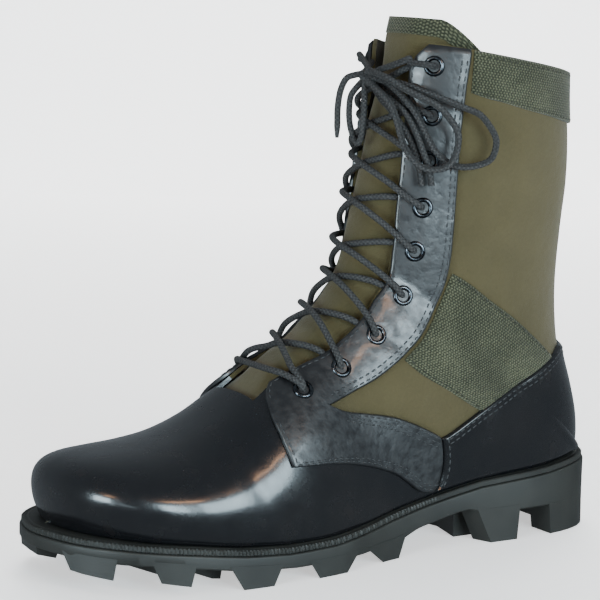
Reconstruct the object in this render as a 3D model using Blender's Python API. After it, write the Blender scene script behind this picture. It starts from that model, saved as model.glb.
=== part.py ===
# Jungle boot for the left foot: rubber sole, leather vamp, canvas shaft, webbing bands and laces.
# World frame: +X to the toe, +Y to the outer side of the foot, +Z up, origin under the middle.
# Sizes in the tables are millimetres: x from the back of the heel, y from the heel's middle, z up.

import math
from collections import namedtuple
from functools import lru_cache

import bmesh
import bpy
import numpy as np
from mathutils import Vector

# Driving sizes
LENGTH = 308.0            # outsole, heel back to toe tip
MIDDLE_Y = -0.8           # middle of the sole's width
FIT_GAP = 0.3             # between flat pieces
LAY_GAP = 0.6             # between a curved skin and what lies on it
WELT_THICKNESS = 3.0
WELT_INSET = 0.9
WALL = 2.0                # leather and canvas wall
INSOLE_THICKNESS = 3.0
INSOLE_CLEARANCE = 2.8    # all round, inside the upper's wall
INSOLE_START, INSOLE_END = 15.5, 289.0
FACING = 1.7              # thickness of eyestays and counter
WEBBING = 1.2             # thickness of the webbing bands
EYELET_RADIUS = 5.0
EYELET_BORE = 2.9
EYELET_RISE = 1.1
LACE = 3.2                # lace diameter

Outline = namedtuple("Outline", "x lateral medial")
OUTLINE = [
    Outline(0, 0, 0),
    Outline(5, 19, -19),
    Outline(15, 30, -30),
    Outline(30, 36, -36),
    Outline(50, 38.5, -38.5),
    Outline(80, 38, -37),
    Outline(110, 38, -34),
    Outline(140, 42, -34),
    Outline(168, 50, -39),
    Outline(195, 53.5, -47),
    Outline(225, 54, -54),
    Outline(250, 51.5, -55.5),
    Outline(270, 45, -53),
    Outline(285, 36, -47),
    Outline(297, 23, -37),
    Outline(304, 9, -26),
    Outline(308, -8, -8),
]

Level = namedtuple("Level", "x z")
# Top edge of the rubber wall, the roof between the tread blocks, and the ground side of the blocks
WALL_TOP = [
    Level(0, 35), Level(20, 34), Level(41, 31.6), Level(71, 29.4), Level(83, 28.6), Level(97, 26.2),
    Level(119, 22.4), Level(150, 16.8), Level(177, 13.8), Level(204, 13.5), Level(227, 15),
    Level(252, 18), Level(284, 20.8), Level(308, 22),
]
TREAD_ROOF = [
    Level(0, 15), Level(80, 15), Level(90, 18), Level(96, 17.5), Level(122, 12.5), Level(134, 8),
    Level(160, 6.6), Level(200, 6.6), Level(228, 8.4), Level(246, 11), Level(268, 13.4),
    Level(290, 14.6), Level(308, 16),
]
TREAD_FLOOR = [
    Level(0, 0), Level(229, 0), Level(240, 1.5), Level(255, 4), Level(268, 6.2), Level(286, 7),
    Level(298, 9), Level(308, 12.5),
]
LEDGE = [
    Level(0, 6.8), Level(20, 6.2), Level(45, 4.6), Level(90, 3.2), Level(150, 4), Level(200, 5.2),
    Level(270, 6.5), Level(295, 8.5), Level(308, 10),
]

# Sections of the upper, as planes that fan round the foot. Each runs from a crest point on the
# profile to a base point on the welt or on the back seam. belly is how far down the widest place is,
# swell how far it stands outside the welt line, and the rounds are superellipse exponents.
ToeRow = namedtuple("ToeRow", "crest_x crest_z base_x mid swell belly round")
TOE_ROWS = [
    ToeRow(298.0, 25.4, 298.0, -8.0, 0.0, 0.60, 2.0),
    ToeRow(299.2, 32.0, 296.6, -8.0, 0.4, 0.62, 2.1),
    ToeRow(299.8, 38.5, 294.2, -8.0, 0.8, 0.62, 2.2),
    ToeRow(299.2, 45.0, 290.6, -7.6, 1.2, 0.63, 2.3),
    ToeRow(296.6, 50.4, 285.5, -7.0, 1.6, 0.65, 2.4),
    ToeRow(291.0, 54.2, 278.5, -6.2, 2.0, 0.66, 2.4),
    ToeRow(282.0, 56.4, 269.5, -5.2, 2.2, 0.68, 2.4),
    ToeRow(269.5, 57.8, 258.5, -4.0, 2.3, 0.70, 2.35),
    ToeRow(254.0, 59.6, 245.0, -2.8, 2.2, 0.72, 2.3),
    ToeRow(237.5, 63.2, 231.0, -1.6, 2.0, 0.74, 2.3),
    ToeRow(220.5, 70.6, 216.0, -0.6, 1.8, 0.77, 2.4),
    ToeRow(205.5, 81.0, 200.0, 0.0, 1.6, 0.80, 2.5),
    ToeRow(195.0, 90.0, 180.0, 0.0, 1.6, 0.82, 2.45),
    ToeRow(184.0, 98.0, 158.0, 0.0, 1.6, 0.80, 2.35),
    ToeRow(173.0, 105.8, 134.0, 0.0, 1.8, 0.74, 2.25),
]
HeelRow = namedtuple("HeelRow", "crest_x crest_z base_x lateral medial belly round back_round")
HEEL_ROWS = [
    HeelRow(163.8, 113.5, 110.0, 37.2, -35.6, 0.66, 2.2, 2.2),
    HeelRow(157.2, 120.0, 86.0, 37.4, -36.4, 0.63, 2.2, 2.2),
    HeelRow(152.4, 126.0, 63.0, 37.2, -36.6, 0.62, 2.2, 2.25),
    HeelRow(149.0, 131.4, 43.0, 36.8, -36.4, 0.60, 2.2, 2.3),
    HeelRow(146.6, 136.2, 27.5, 35.6, -35.4, 0.58, 2.2, 2.2),
    HeelRow(145.0, 140.4, 18.0, 34.7, -34.6, 0.56, 2.2, 2.1),
    HeelRow(143.9, 144.0, 12.4, 34.2, -34.0, 0.55, 2.2, 2.1),
    HeelRow(143.0, 147.6, 9.2, 34.0, -33.8, 0.54, 2.2, 2.1),
]
ShaftRow = namedtuple("ShaftRow", "crest_x crest_z back_x back_z half_width belly round back_round")
SHAFT_ROWS = [
    ShaftRow(141.6, 153.5, 9.4, 52.0, 34.4, 0.53, 2.2, 2.15),
    ShaftRow(139.8, 160.5, 12.6, 68.0, 34.6, 0.52, 2.2, 2.15),
    ShaftRow(137.8, 168.5, 16.6, 84.0, 34.9, 0.51, 2.2, 2.1),
    ShaftRow(135.6, 177.0, 18.8, 102.0, 35.4, 0.50, 2.2, 2.1),
    ShaftRow(133.2, 186.5, 20.4, 124.0, 36.0, 0.50, 2.2, 2.1),
    ShaftRow(130.6, 198.0, 19.6, 150.0, 36.8, 0.50, 2.25, 2.15),
    ShaftRow(128.2, 210.0, 17.4, 174.0, 37.5, 0.50, 2.3, 2.15),
    ShaftRow(126.0, 222.0, 17.7, 195.0, 38.0, 0.50, 2.3, 2.15),
    ShaftRow(124.2, 234.5, 19.8, 214.0, 38.6, 0.50, 2.3, 2.15),
    ShaftRow(122.6, 248.0, 21.0, 231.5, 39.0, 0.50, 2.3, 2.15),
]
ThroatGap = namedtuple("ThroatGap", "row half_gap")
THROAT_GAPS = [
    ThroatGap(0, 17.5), ThroatGap(12, 18.5), ThroatGap(13, 20.2), ThroatGap(16, 21.2), ThroatGap(18, 20.2),
    ThroatGap(24, 20), ThroatGap(27, 18.8), ThroatGap(31, 16.4), ThroatGap(31.5, 18.6), ThroatGap(32, 24),
]
THROAT_ROW = 11                     # the vamp ends here, and the throat opens above it
THROAT_COLUMN = 3                   # mesh columns between the crest and the throat's edge
SIDE_COLUMNS = 16                   # mesh columns from the crest to the base, on each side
EXTRA_ROWS = [12.5, 13.5, 14.5]     # where the planes fan apart most

# Edges of the overlays in side view, as points on the upper's own surface
Spot = namedtuple("Spot", "x z")
TAB_FRONT = [Spot(196.6, 86.2), Spot(201.2, 80.8), Spot(204.2, 72.9), Spot(203.9, 65.6), Spot(202.8, 59.5),
             Spot(201.2, 52.7)]
STRIP_LOWER = [
    Spot(201.2, 52.7), Spot(191.7, 52.5), Spot(178.9, 51.9), Spot(164.2, 49.5), Spot(148.6, 45.4),
    Spot(136.7, 41), Spot(128.5, 35.6), Spot(121, 30.5), Spot(114.5, 29.6),
]
EYESTAY_BACK = [
    Spot(98.2, 246.6), Spot(98.4, 239), Spot(99.6, 228.7), Spot(100.6, 216.5), Spot(101.6, 205.5),
    Spot(102.2, 194.6), Spot(102.5, 183.5), Spot(102.8, 172.5), Spot(103.3, 157.4), Spot(103.9, 144.4),
    Spot(105.7, 132.7), Spot(108.8, 123.5), Spot(113.8, 113.9), Spot(121.6, 104.4), Spot(130, 97.4),
    Spot(139.2, 91.2), Spot(146, 87.2), Spot(154.4, 83.6), Spot(164.3, 80), Spot(175, 77),
]
STRIP_UPPER = [Spot(175, 77), Spot(165.5, 73.8), Spot(152.4, 71.7), Spot(138.1, 69.1), Spot(127, 65.2),
               Spot(117.2, 60.7), Spot(112.6, 58.2)]
COUNTER_TOP = [
    Spot(109.6, 56.2), Spot(104.3, 58.3), Spot(94.7, 63.4), Spot(84.9, 68.6), Spot(70.5, 75.2), Spot(57.4, 80.8),
    Spot(46.6, 86.1), Spot(37.9, 90.6), Spot(29.9, 94.4),
]
COUNTER_BACK_Z = 97.0
COUNTER_FEET = [111.6, 84, 58, 38, 26, 18, 13.5]     # x along its lower edge
ANKLE_UPPER = [Spot(102.4, 136), Spot(92.6, 130.2), Spot(80.5, 121.6), Spot(66.5, 112.6), Spot(50.7, 100.8),
               Spot(41.5, 93.5)]
ANKLE_LOWER = [Spot(130, 95.4), Spot(121, 88), Spot(108.6, 80.9), Spot(98, 74.4), Spot(88.8, 69)]
ANKLE_FRONT = [Spot(102.4, 136), Spot(104.4, 131.6), Spot(107.6, 122.4), Spot(112.6, 112.6), Spot(120.4, 103.2),
               Spot(130, 95.4)]
CUFF_FRONT = Spot(96.4, 246)
CUFF_LOWER = [Spot(97.6, 223.4), Spot(90.5, 221), Spot(79.3, 218.4), Spot(66.7, 215.2), Spot(52.6, 212.2),
              Spot(36, 208.3)]
CUFF_BACK_Z = 206.0
EYELETS = [
    Spot(113.2, 235.6), Spot(114.2, 212), Spot(115.4, 190.6), Spot(118, 168), Spot(121, 147),
    Spot(127, 125.2), Spot(143, 107.2), Spot(163, 92.6), Spot(186, 84),
]

# The lace's free strands, from the knot: knot centre and half sizes, then points along each cord
KNOT = (134, 2, 229.5)
KNOT_HALVES = (3.6, 6.5, 5.0)
CORD_ROUTES = {
    "lace_lead_lateral": [(131.2, 7.9, 233.4), (129.5, 12, 234.8), (127, 17.5, 237), (124.6, 21.5, 239),
                          (121.6, 25.2, 238.8)],
    "lace_lead_medial": [(131.2, -3.9, 233.4), (129.5, -8, 234.8), (127, -15, 237), (124.6, -21.5, 239),
                         (121.6, -25.2, 238.8)],
    "lace_end_left": [(137.3, -4.6, 230), (140, -9, 228), (142, -11, 222), (143, -11.5, 214), (143, -11.5, 206),
                      (143, -11.5, 199)],
    "lace_loop_left": [(135.6, -4.3, 225.3), (138, -7.5, 220), (139, -7.5, 213), (139, -6.5, 206),
                       (138.5, -4, 200), (138, -1, 197), (138, 2, 200), (138, 3.2, 207), (137.5, 3.2, 214),
                       (136.8, 2.2, 219.5), (136.2, 1, 223.9)],
    "lace_loop_inner": [(136, 9.2, 231.6), (135, 19, 229.5), (131, 27, 225), (125, 34, 221), (119, 39, 217),
                        (114, 42, 211), (111, 44, 205), (111, 44, 198), (113, 43.5, 192), (118, 41.5, 188),
                        (125, 37.5, 188), (130, 33, 193), (131.5, 28, 200), (133, 25, 209), (134.5, 21.5, 217),
                        (136.4, 14.5, 223), (136.6, 9, 225.7)],
    "lace_loop_outer": [(134, 9.5, 228.4), (128.5, 21, 227), (123, 30, 224), (114, 38, 220), (105, 41, 216.5),
                        (97, 43, 213), (90, 44, 205), (88, 44, 199), (91, 44, 192), (99, 43, 189),
                        (107, 41, 188.6), (112.4, 38.6, 190.6), (118, 36, 196), (121, 34, 202), (124, 31, 210),
                        (126.8, 25, 218), (129.8, 16, 225), (130.4, 9.8, 227.4)],
    "lace_end_right_1": [(131.2, 2.4, 223.9), (131.6, 9, 219), (131.2, 16.5, 214.5), (128.8, 22.5, 207.5),
                         (125, 27, 198), (123, 30, 188), (121.8, 31, 179)],
    "lace_end_right_2": [(133.6, 5.8, 224.3), (131.2, 15.5, 219.5), (127.5, 24, 213), (125, 29, 205),
                         (122.5, 32.5, 195), (120.3, 35, 186), (119.3, 35.5, 179.5)],
}
CORD_STEP = 8.0          # between the points of a cord's centre line
LACE_RISE = 2.8          # centre line of the crossings above the upper's skin
CROSSING_SHARE = 0.12    # each crossing stops this far short of the eyelets' levels

# Side blocks of the tread: x of the ground face and of the root, reach inwards, and slant of the ends
Block = namedtuple("Block", "ground_front ground_back root_front root_back reach slant")
BLOCKS = [
    Block(300, 286.5, 302, 285, 10, -2),
    Block(268, 255, 272, 252.5, 13, -4),
    Block(229.5, 213.5, 237, 208.6, 14, -5),
    Block(188, 171, 194, 163, 14, -5),
    Block(146, 135, 158, 130, 13, -2),
]
# Block on the medial side that runs on round the toe's tip: x, and y where it isn't on the outline
TIP_ROOT = [(306.6, -4), (305, -17.5), (300.5, None), (294, None), (285, None), (286.5, -36.6),
            (292.5, -23.5), (293, -4)]
TIP_GROUND = [(304.5, -5.5), (303.2, -17), (300.3, -31.5), (294, None), (286.5, None), (287.5, -37.4),
              (294, -25), (295, -5.5)]
# Chevron bars across the middle: x of the tips, how far the middle leads them, and width along x
Chevron = namedtuple("Chevron", "tip_x lead width")
CHEVRONS = [Chevron(258, 10, 11), Chevron(232, 11, 12), Chevron(203, 11, 12), Chevron(175, 11, 12),
            Chevron(148, 10, 11)]


def place(x, y, z):
    return Vector(((x - LENGTH / 2) / 1000, (y - MIDDLE_Y) / 1000, z / 1000))


def level(table, x):
    return float(np.interp(x, [row.x for row in table], [row.z for row in table]))


def catmull(a, b, c, d, t):
    square, cube = 2 * a - 5 * b + 4 * c - d, 3 * b - a - 3 * c + d
    return 0.5 * (2 * b + (c - a) * t + square * t ** 2 + cube * t ** 3)


def smooth_curve(points, count, closed=False):
    """Points spread along a smooth curve through the given ones."""
    rows = np.array(points, dtype=float)
    spans = len(rows) if closed else len(rows) - 1
    result = []
    for k in range(count):
        place_on = k * spans / (count if closed else count - 1)
        i = min(int(place_on), spans - 1)
        picks = [i - 1, i, i + 1, i + 2]
        if closed:
            picks = [p % len(rows) for p in picks]
        else:
            picks = [min(max(p, 0), len(rows) - 1) for p in picks]
        result.append(catmull(*rows[picks], place_on - i))
    return np.array(result)


@lru_cache(maxsize=None)
def outline_sides(inset, follow_ledge):
    """The sole's outline moved inwards, as lateral and medial curves of y against x."""
    loop = [(row.x, row.lateral) for row in OUTLINE]
    loop += [(row.x, row.medial) for row in reversed(OUTLINE[1:-1])]
    half = len(OUTLINE) - 1
    per_span = 16
    dense = smooth_curve(loop, len(loop) * per_span, closed=True)
    along = np.roll(dense, -1, axis=0) - np.roll(dense, 1, axis=0)
    along /= np.linalg.norm(along, axis=1)[:, None]
    inward = np.stack([along[:, 1], -along[:, 0]], axis=1)
    ledges = np.array([level(LEDGE, x) if follow_ledge else 0.0 for x in dense[:, 0]])
    moved = dense + inward * (inset + ledges)[:, None]
    tip = half * per_span
    lateral = moved[:tip + 1]
    medial = np.vstack([moved[tip:], moved[:1]])[::-1]
    return lateral, medial


def side_y(x, side, inset=0.0, follow_ledge=False):
    curve = outline_sides(inset, follow_ledge)[0 if side > 0 else 1]
    order = np.argsort(curve[:, 0])
    return float(np.interp(x, curve[order, 0], curve[order, 1]))


def welt_top(x):
    return level(WALL_TOP, x) + FIT_GAP + WELT_THICKNESS


def base_height(x):
    return welt_top(x) + FIT_GAP


# Numbers of one section: crest, base, middle line, widest places, base edges, belly and rounds
Section = namedtuple(
    "Section", "crest_x crest_z base_x base_z mid wide_lateral wide_medial edge_lateral edge_medial "
    "belly round back_round")


def base_edges(x):
    return side_y(x, 1, 0.0, True), side_y(x, -1, 0.0, True)


def all_sections():
    sections = []
    for row in TOE_ROWS:
        lateral, medial = base_edges(row.base_x)
        if row is TOE_ROWS[0]:
            lateral = medial = row.mid
        sections.append(Section(row.crest_x, row.crest_z, row.base_x, base_height(row.base_x), row.mid,
                                lateral + row.swell, medial - row.swell, lateral, medial,
                                row.belly, row.round, row.round))
    for row in HEEL_ROWS:
        lateral, medial = base_edges(row.base_x)
        if row is HEEL_ROWS[-1]:
            lateral = medial = 0.0
        sections.append(Section(row.crest_x, row.crest_z, row.base_x, base_height(row.base_x), 0.0,
                                row.lateral, row.medial, lateral, medial,
                                row.belly, row.round, row.back_round))
    for row in SHAFT_ROWS:
        sections.append(Section(row.crest_x, row.crest_z, row.back_x, row.back_z, 0.0,
                                row.half_width, -row.half_width, 0.0, 0.0,
                                row.belly, row.round, row.back_round))
    return np.array(sections, dtype=float)


SECTIONS = all_sections()
CLOSED_ROW = len(TOE_ROWS) + len(HEEL_ROWS) - 1     # from here up the section closes at the back
TOP_ROW = len(SECTIONS) - 1


@lru_cache(maxsize=None)
def section_at(s):
    i = min(max(int(math.floor(s)), 0), TOP_ROW - 1)
    picks = [min(max(p, 0), TOP_ROW) for p in (i - 1, i, i + 1, i + 2)]
    if i == TOP_ROW - 1:
        ahead = 2 * SECTIONS[TOP_ROW] - SECTIONS[TOP_ROW - 1]
        a, b, c = SECTIONS[picks[:3]]
        return Section(*catmull(a, b, c, ahead, s - i))
    return Section(*catmull(*SECTIONS[picks], s - i))


def skin_point(s, t):
    """Point of the upper's outer skin. t runs from -1, medial base, over 0, the crest, to 1."""
    row = section_at(round(s, 6))
    wide, edge = (row.wide_lateral, row.edge_lateral) if t >= 0 else (row.wide_medial, row.edge_medial)
    turn = min(abs(t), 1.0) * math.pi
    if turn <= math.pi / 2:
        power = 2 / row.round
        down = row.belly * (1 - math.cos(turn) ** power)
        y = row.mid + (wide - row.mid) * math.sin(turn) ** power
    else:
        power = 2 / row.back_round
        turn -= math.pi / 2
        down = row.belly + (1 - row.belly) * math.sin(turn) ** power
        y = edge + (wide - edge) * max(math.cos(turn), 0.0) ** power
    x = row.crest_x + (row.base_x - row.crest_x) * down
    z = row.crest_z + (row.base_z - row.crest_z) * down
    return Vector((x, y, z))


def throat_turn(s):
    """The t of the throat's edge, or of the mesh column that carries it on down the vamp."""
    row = section_at(round(s, 6))
    half = float(np.interp(s, [gap.row for gap in THROAT_GAPS], [gap.half_gap for gap in THROAT_GAPS]))
    share = min(half / row.wide_lateral, 0.62) if row.wide_lateral > 1 else 0.62
    return math.asin(share ** (row.round / 2)) / math.pi


def skin_normal(s, t):
    """Outward direction, level at the back seam."""
    side = 1 if t >= 0 else -1
    seam = 0.96
    held = side * min(abs(t), seam)
    step = 0.01
    low, high = max(s - 0.05, 0.0), min(s + 0.05, TOP_ROW + 1.0)
    along = skin_point(high, held) - skin_point(low, held)
    across = skin_point(s, held + step) - skin_point(s, held - step)
    normal = along.cross(across).normalized()
    if abs(t) > seam and s >= CLOSED_ROW:
        normal.y *= (1 - abs(t)) / (1 - seam)
        normal.normalize()
    middle = skin_point(s, 0.5) + skin_point(s, -0.5)
    if normal.dot(skin_point(s, held) - middle / 2) < 0:
        normal.negate()
    return normal


def skin_offset(s, t, rise):
    return skin_point(s, t) + skin_normal(s, t) * rise


def spot_on_skin(spot, side):
    """The (s, t) of a side view point, found by halving on the fan of planes."""
    def past(s):
        row = section_at(round(s, 6))
        return ((row.base_x - row.crest_x) * (spot.z - row.crest_z)
                - (row.base_z - row.crest_z) * (spot.x - row.crest_x))
    low, high = 1.0, float(TOP_ROW)
    for _ in range(40):
        middle = (low + high) / 2
        if past(middle) > 0:
            high = middle
        else:
            low = middle
    s = (low + high) / 2
    row = section_at(round(s, 6))
    chord = Vector((row.base_x - row.crest_x, row.base_z - row.crest_z))
    down = Vector((spot.x - row.crest_x, spot.z - row.crest_z)).dot(chord) / chord.length_squared
    down = min(max(down, 0.0), 1.0)
    if down < row.belly:
        t = math.acos((1 - down / row.belly) ** (row.round / 2)) / math.pi
    else:
        t = 0.5 + math.asin(((down - row.belly) / (1 - row.belly)) ** (row.back_round / 2)) / math.pi
    return s, t * side


def seam_at(z):
    """The (s, t) of the back seam at a height."""
    low, high = float(CLOSED_ROW), float(TOP_ROW)
    for _ in range(40):
        middle = (low + high) / 2
        if section_at(round(middle, 6)).base_z < z:
            low = middle
        else:
            high = middle
    return (low + high) / 2, 1.0


# Objects and materials

def clear_scene():
    for item in list(bpy.data.objects):
        bpy.data.objects.remove(item)


def make_material(name, color, roughness, metallic=0.0):
    material = bpy.data.materials.new(name)
    material.use_nodes = True
    shader = material.node_tree.nodes["Principled BSDF"]
    shader.inputs["Base Color"].default_value = (*color, 1.0)
    shader.inputs["Roughness"].default_value = roughness
    shader.inputs["Metallic"].default_value = metallic
    return material


def add_object(name, mesh_source, material, smooth=True, helper=False):
    bmesh.ops.remove_doubles(mesh_source, verts=mesh_source.verts, dist=1e-6)
    bmesh.ops.recalc_face_normals(mesh_source, faces=mesh_source.faces)
    bmesh.ops.triangulate(mesh_source, faces=mesh_source.faces)
    if mesh_source.calc_volume(signed=True) < 0:
        bmesh.ops.reverse_faces(mesh_source, faces=mesh_source.faces)
    mesh = bpy.data.meshes.new(name)
    mesh_source.to_mesh(mesh)
    mesh_source.free()
    mesh.materials.append(material)
    if smooth:
        mesh.shade_smooth()
        mesh.set_sharp_from_angle(angle=math.radians(38))
    item = bpy.data.objects.new(name, mesh)
    bpy.context.scene.collection.objects.link(item)
    if helper:
        item.hide_render = True
        item.display_type = "WIRE"
    return item


def union(target, helper):
    step = target.modifiers.new("join " + helper.name, "BOOLEAN")
    step.operation = "UNION"
    step.solver = "EXACT"
    step.object = helper


def shell(name, cells, outer, inner, material):
    """Closed wall between two skins that share their cells; its open edges are bridged."""
    grid = bmesh.new()
    verts = {}

    def vert(skin, key):
        if (skin, key) not in verts:
            point = outer[key] if skin == "outer" else inner[key]
            verts[skin, key] = grid.verts.new(place(*point))
        return verts[skin, key]

    edges = set()
    for cell in cells:
        loop = [key for k, key in enumerate(cell) if key != cell[k - 1]]
        if len(loop) < 3:
            continue
        grid.faces.new([vert("outer", key) for key in loop])
        grid.faces.new([vert("inner", key) for key in reversed(loop)])
        for k, key in enumerate(loop):
            edges.add((loop[k - 1], key))
    for a, b in edges:
        if (b, a) not in edges:
            grid.faces.new([vert("outer", b), vert("outer", a), vert("inner", a), vert("inner", b)])
    return add_object(name, grid, material)


def patch(name, spots, low, high, material):
    """A curved panel between two rises above the skin, from a grid of (s, t) places."""
    outer, inner, cells = {}, {}, []
    for i, line in enumerate(spots):
        for j, (s, t) in enumerate(line):
            outer[i, j] = skin_offset(s, t, high)
            inner[i, j] = skin_offset(s, t, low)
            if i and j:
                cells.append([(i - 1, j - 1), (i, j - 1), (i, j), (i - 1, j)])
    return shell(name, cells, outer, inner, material)


# Sole

def stations(start, end, count):
    """x values from start to end, closer together at both ends."""
    return [start + (end - start) * (1 - math.cos(math.pi * k / (count - 1))) / 2 for k in range(count)]


def plate_mesh(top, bottom, inset, follow_ledge, start, end, count):
    """Solid between two heights, inside the sole's outline moved inwards."""
    solid = bmesh.new()
    rings = []
    for x in stations(start, end, count):
        lateral, medial = side_y(x, 1, inset, follow_ledge), side_y(x, -1, inset, follow_ledge)
        if lateral - medial < 1.0:
            lateral = medial = (lateral + medial) / 2
        corners = [(lateral, top(x)), (medial, top(x)), (medial, bottom(x)), (lateral, bottom(x))]
        rings.append([solid.verts.new(place(x, y, z)) for y, z in corners])
    for one, two in zip(rings, rings[1:]):
        for k in range(4):
            solid.faces.new([one[k], one[(k + 1) % 4], two[(k + 1) % 4], two[k]])
    solid.faces.new(rings[0])
    solid.faces.new(list(reversed(rings[-1])))
    bmesh.ops.remove_doubles(solid, verts=solid.verts, dist=1e-6)
    loose = [face for face in solid.faces if face.calc_area() < 1e-10]
    bmesh.ops.delete(solid, geom=loose, context="FACES")
    return solid


def block_mesh(solid, root, ground):
    """One tapered tread block from two plan outlines with the same count of points."""
    turned = sum(a[0] * b[1] - b[0] * a[1] for a, b in zip(root, root[1:] + root[:1]))
    if turned < 0:
        root, ground = root[::-1], ground[::-1]
    upper = [solid.verts.new(place(x, y, level(TREAD_ROOF, x) + 2.5)) for x, y in root]
    lower = [solid.verts.new(place(x, y, level(TREAD_FLOOR, x))) for x, y in ground]
    count = len(upper)
    for k in range(count):
        solid.faces.new([lower[k], lower[(k + 1) % count], upper[(k + 1) % count], upper[k]])
    solid.faces.new(upper)
    solid.faces.new(list(reversed(lower)))


def side_block(solid, block, side):
    """Block on the edge, standing a little proud of the rubber wall."""
    outlines = []
    for front, back, proud, reach in ((block.root_front, block.root_back, -0.7, block.reach),
                                      (block.ground_front, block.ground_back, -1.3, block.reach - 1.5)):
        edge = [(x, side_y(x, side, proud)) for x in (front, (front + back) / 2, back)]
        inner = [(x + block.slant, side_y(x, side) - side * reach) for x in (back + 2, front - 2)]
        outlines.append(edge + inner)
    block_mesh(solid, *outlines)


def tip_block(solid):
    """The medial toe block, which reaches round the tip."""
    root = [(x, side_y(x, -1, -0.7) if y is None else y) for x, y in TIP_ROOT]
    ground = [(x, side_y(x, -1, -1.3) if y is None else y) for x, y in TIP_GROUND]
    block_mesh(solid, root, ground)


def chevron_block(solid, chevron):
    """Bar across the forefoot whose middle points to the toe."""
    outlines = []
    for shrink in (0.0, 1.5):
        half = chevron.width / 2 - shrink
        tips = [side_y(chevron.tip_x, side) - side * (19.0 + shrink) for side in (1, -1)]
        middle_x, middle_y = chevron.tip_x + chevron.lead, sum(tips) / 2
        front = [(chevron.tip_x + half * 0.5, tips[1]), (middle_x + half, middle_y),
                 (chevron.tip_x + half * 0.5, tips[0])]
        back = [(x - (half if y != middle_y else 2 * half), y) for x, y in reversed(front)]
        outlines.append(front + back)
    block_mesh(solid, *outlines)


def heel_blocks(solid):
    """One block wraps the back of the heel, two stand at its sides and one between them."""
    rim = [(1, 39), (1, 24), (1, 11), (1, 4), (-1, 4), (-1, 11), (-1, 24), (-1, 39)]
    outlines = []
    for proud, deep, more in ((-0.7, 16.0, 1.5), (-1.2, 14.5, 0.0)):
        outer = [(x + (more if x > 30 else 0.0), side_y(x, side, proud)) for side, x in rim]
        inner = [(39 + more, -37 + deep), (24 + more, -11), (24 + more, 11), (39 + more, 37 - deep)]
        back = [(proud * 0.5, 7.0), (proud * 0.5, -7.0)]
        outlines.append(outer[:4] + back + outer[4:] + inner)
    block_mesh(solid, *outlines)
    for side in (1, -1):
        outlines = []
        for front, back, proud, inner in ((91.5, 59.5, -0.7, 27), (82, 61, -1.2, 28.5)):
            outlines.append([(front - 5, side_y(front - 5, side, proud)), (back, side_y(back, side, proud)),
                             (back, side * inner), (front - 1, side * inner)])
        block_mesh(solid, *outlines)
    outlines = []
    for shrink in (0.0, 1.5):
        wide = 22.5 - shrink
        outlines.append([(89 - shrink, wide), (84 - shrink, 0.0), (89 - shrink, -wide),
                         (72 + shrink, -wide), (62 + shrink, 0.0), (72 + shrink, wide)])
    block_mesh(solid, *outlines)


def make_sole(rubber, ledge_rubber, board):
    slab = plate_mesh(lambda x: level(WALL_TOP, x), lambda x: level(TREAD_ROOF, x), 0.0, False,
                      0.0, LENGTH, 37)
    outsole = add_object("outsole", slab, rubber, smooth=False)
    tread = bmesh.new()
    tip_block(tread)
    for block in BLOCKS:
        for side in (1, -1) if block is not BLOCKS[0] else (1,):
            side_block(tread, block, side)
    for chevron in CHEVRONS:
        chevron_block(tread, chevron)
    heel_blocks(tread)
    union(outsole, add_object("tread blocks", tread, rubber, smooth=False, helper=True))
    welt = plate_mesh(welt_top, lambda x: level(WALL_TOP, x) + FIT_GAP, WELT_INSET, False,
                      WELT_INSET, LENGTH - WELT_INSET, 41)
    add_object("welt", welt, ledge_rubber, smooth=False)
    inset = WALL + INSOLE_CLEARANCE
    insole = plate_mesh(lambda x: base_height(x) + INSOLE_THICKNESS, lambda x: base_height(x) + FIT_GAP,
                        inset, True, INSOLE_START, INSOLE_END, 27)
    add_object("insole", insole, board, smooth=False)


# Upper

def column_turns(s):
    edge = throat_turn(s)
    turns = [edge * k / THROAT_COLUMN for k in range(THROAT_COLUMN + 1)]
    rest = SIDE_COLUMNS - THROAT_COLUMN
    turns += [edge + (1 - edge) * k / rest for k in range(1, rest + 1)]
    return turns


def upper_key(s, j):
    """Shared places: the toe tip is one point, and the closed rows meet at the back seam."""
    if s == 0:
        return (0, 0)
    if s >= CLOSED_ROW and abs(j) == SIDE_COLUMNS:
        return (s, SIDE_COLUMNS)
    return (s, j)


def make_upper(canvas, leather):
    outer, cells = {}, []
    rows = sorted(list(range(TOP_ROW + 1)) + EXTRA_ROWS)
    for s in rows:
        turns = column_turns(s)
        for j in range(-SIDE_COLUMNS, SIDE_COLUMNS + 1):
            outer[upper_key(s, j)] = skin_point(s, math.copysign(turns[abs(j)], j))
    for s, above in zip(rows, rows[1:]):
        for j in range(-SIDE_COLUMNS, SIDE_COLUMNS):
            in_throat = s >= THROAT_ROW and -THROAT_COLUMN <= j < THROAT_COLUMN
            if not in_throat:
                corners = [(s, j), (above, j), (above, j + 1), (s, j + 1)]
                cells.append([upper_key(*corner) for corner in corners])
    inner = inner_skin(outer, cells, WALL)
    upper = shell("upper", cells, outer, inner, canvas)
    upper.data.materials.append(leather)
    for face in upper.data.polygons:
        if is_leather(face.center):
            face.material_index = 1
    return upper


def inner_skin(outer, cells, depth):
    """Move every point inwards along the mean of its faces' directions."""
    normals = {key: Vector() for key in outer}
    for cell in cells:
        loop = [key for k, key in enumerate(cell) if key != cell[k - 1]]
        if len(loop) < 3:
            continue
        points = [outer[key] for key in loop]
        facing = (points[2] - points[0]).cross(points[-1] - points[1] if len(points) > 3
                                               else points[1] - points[0])
        middle = sum(points, Vector()) / len(points)
        core = Vector((min(middle.x, 270) * 0.9 + 8, 0, min(middle.z, 40 + middle.z * 0.45)))
        if facing.dot(middle - core) < 0:
            facing.negate()
        for key in loop:
            normals[key] += facing
    return {key: outer[key] - normals[key].normalized() * depth for key in outer}


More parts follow.
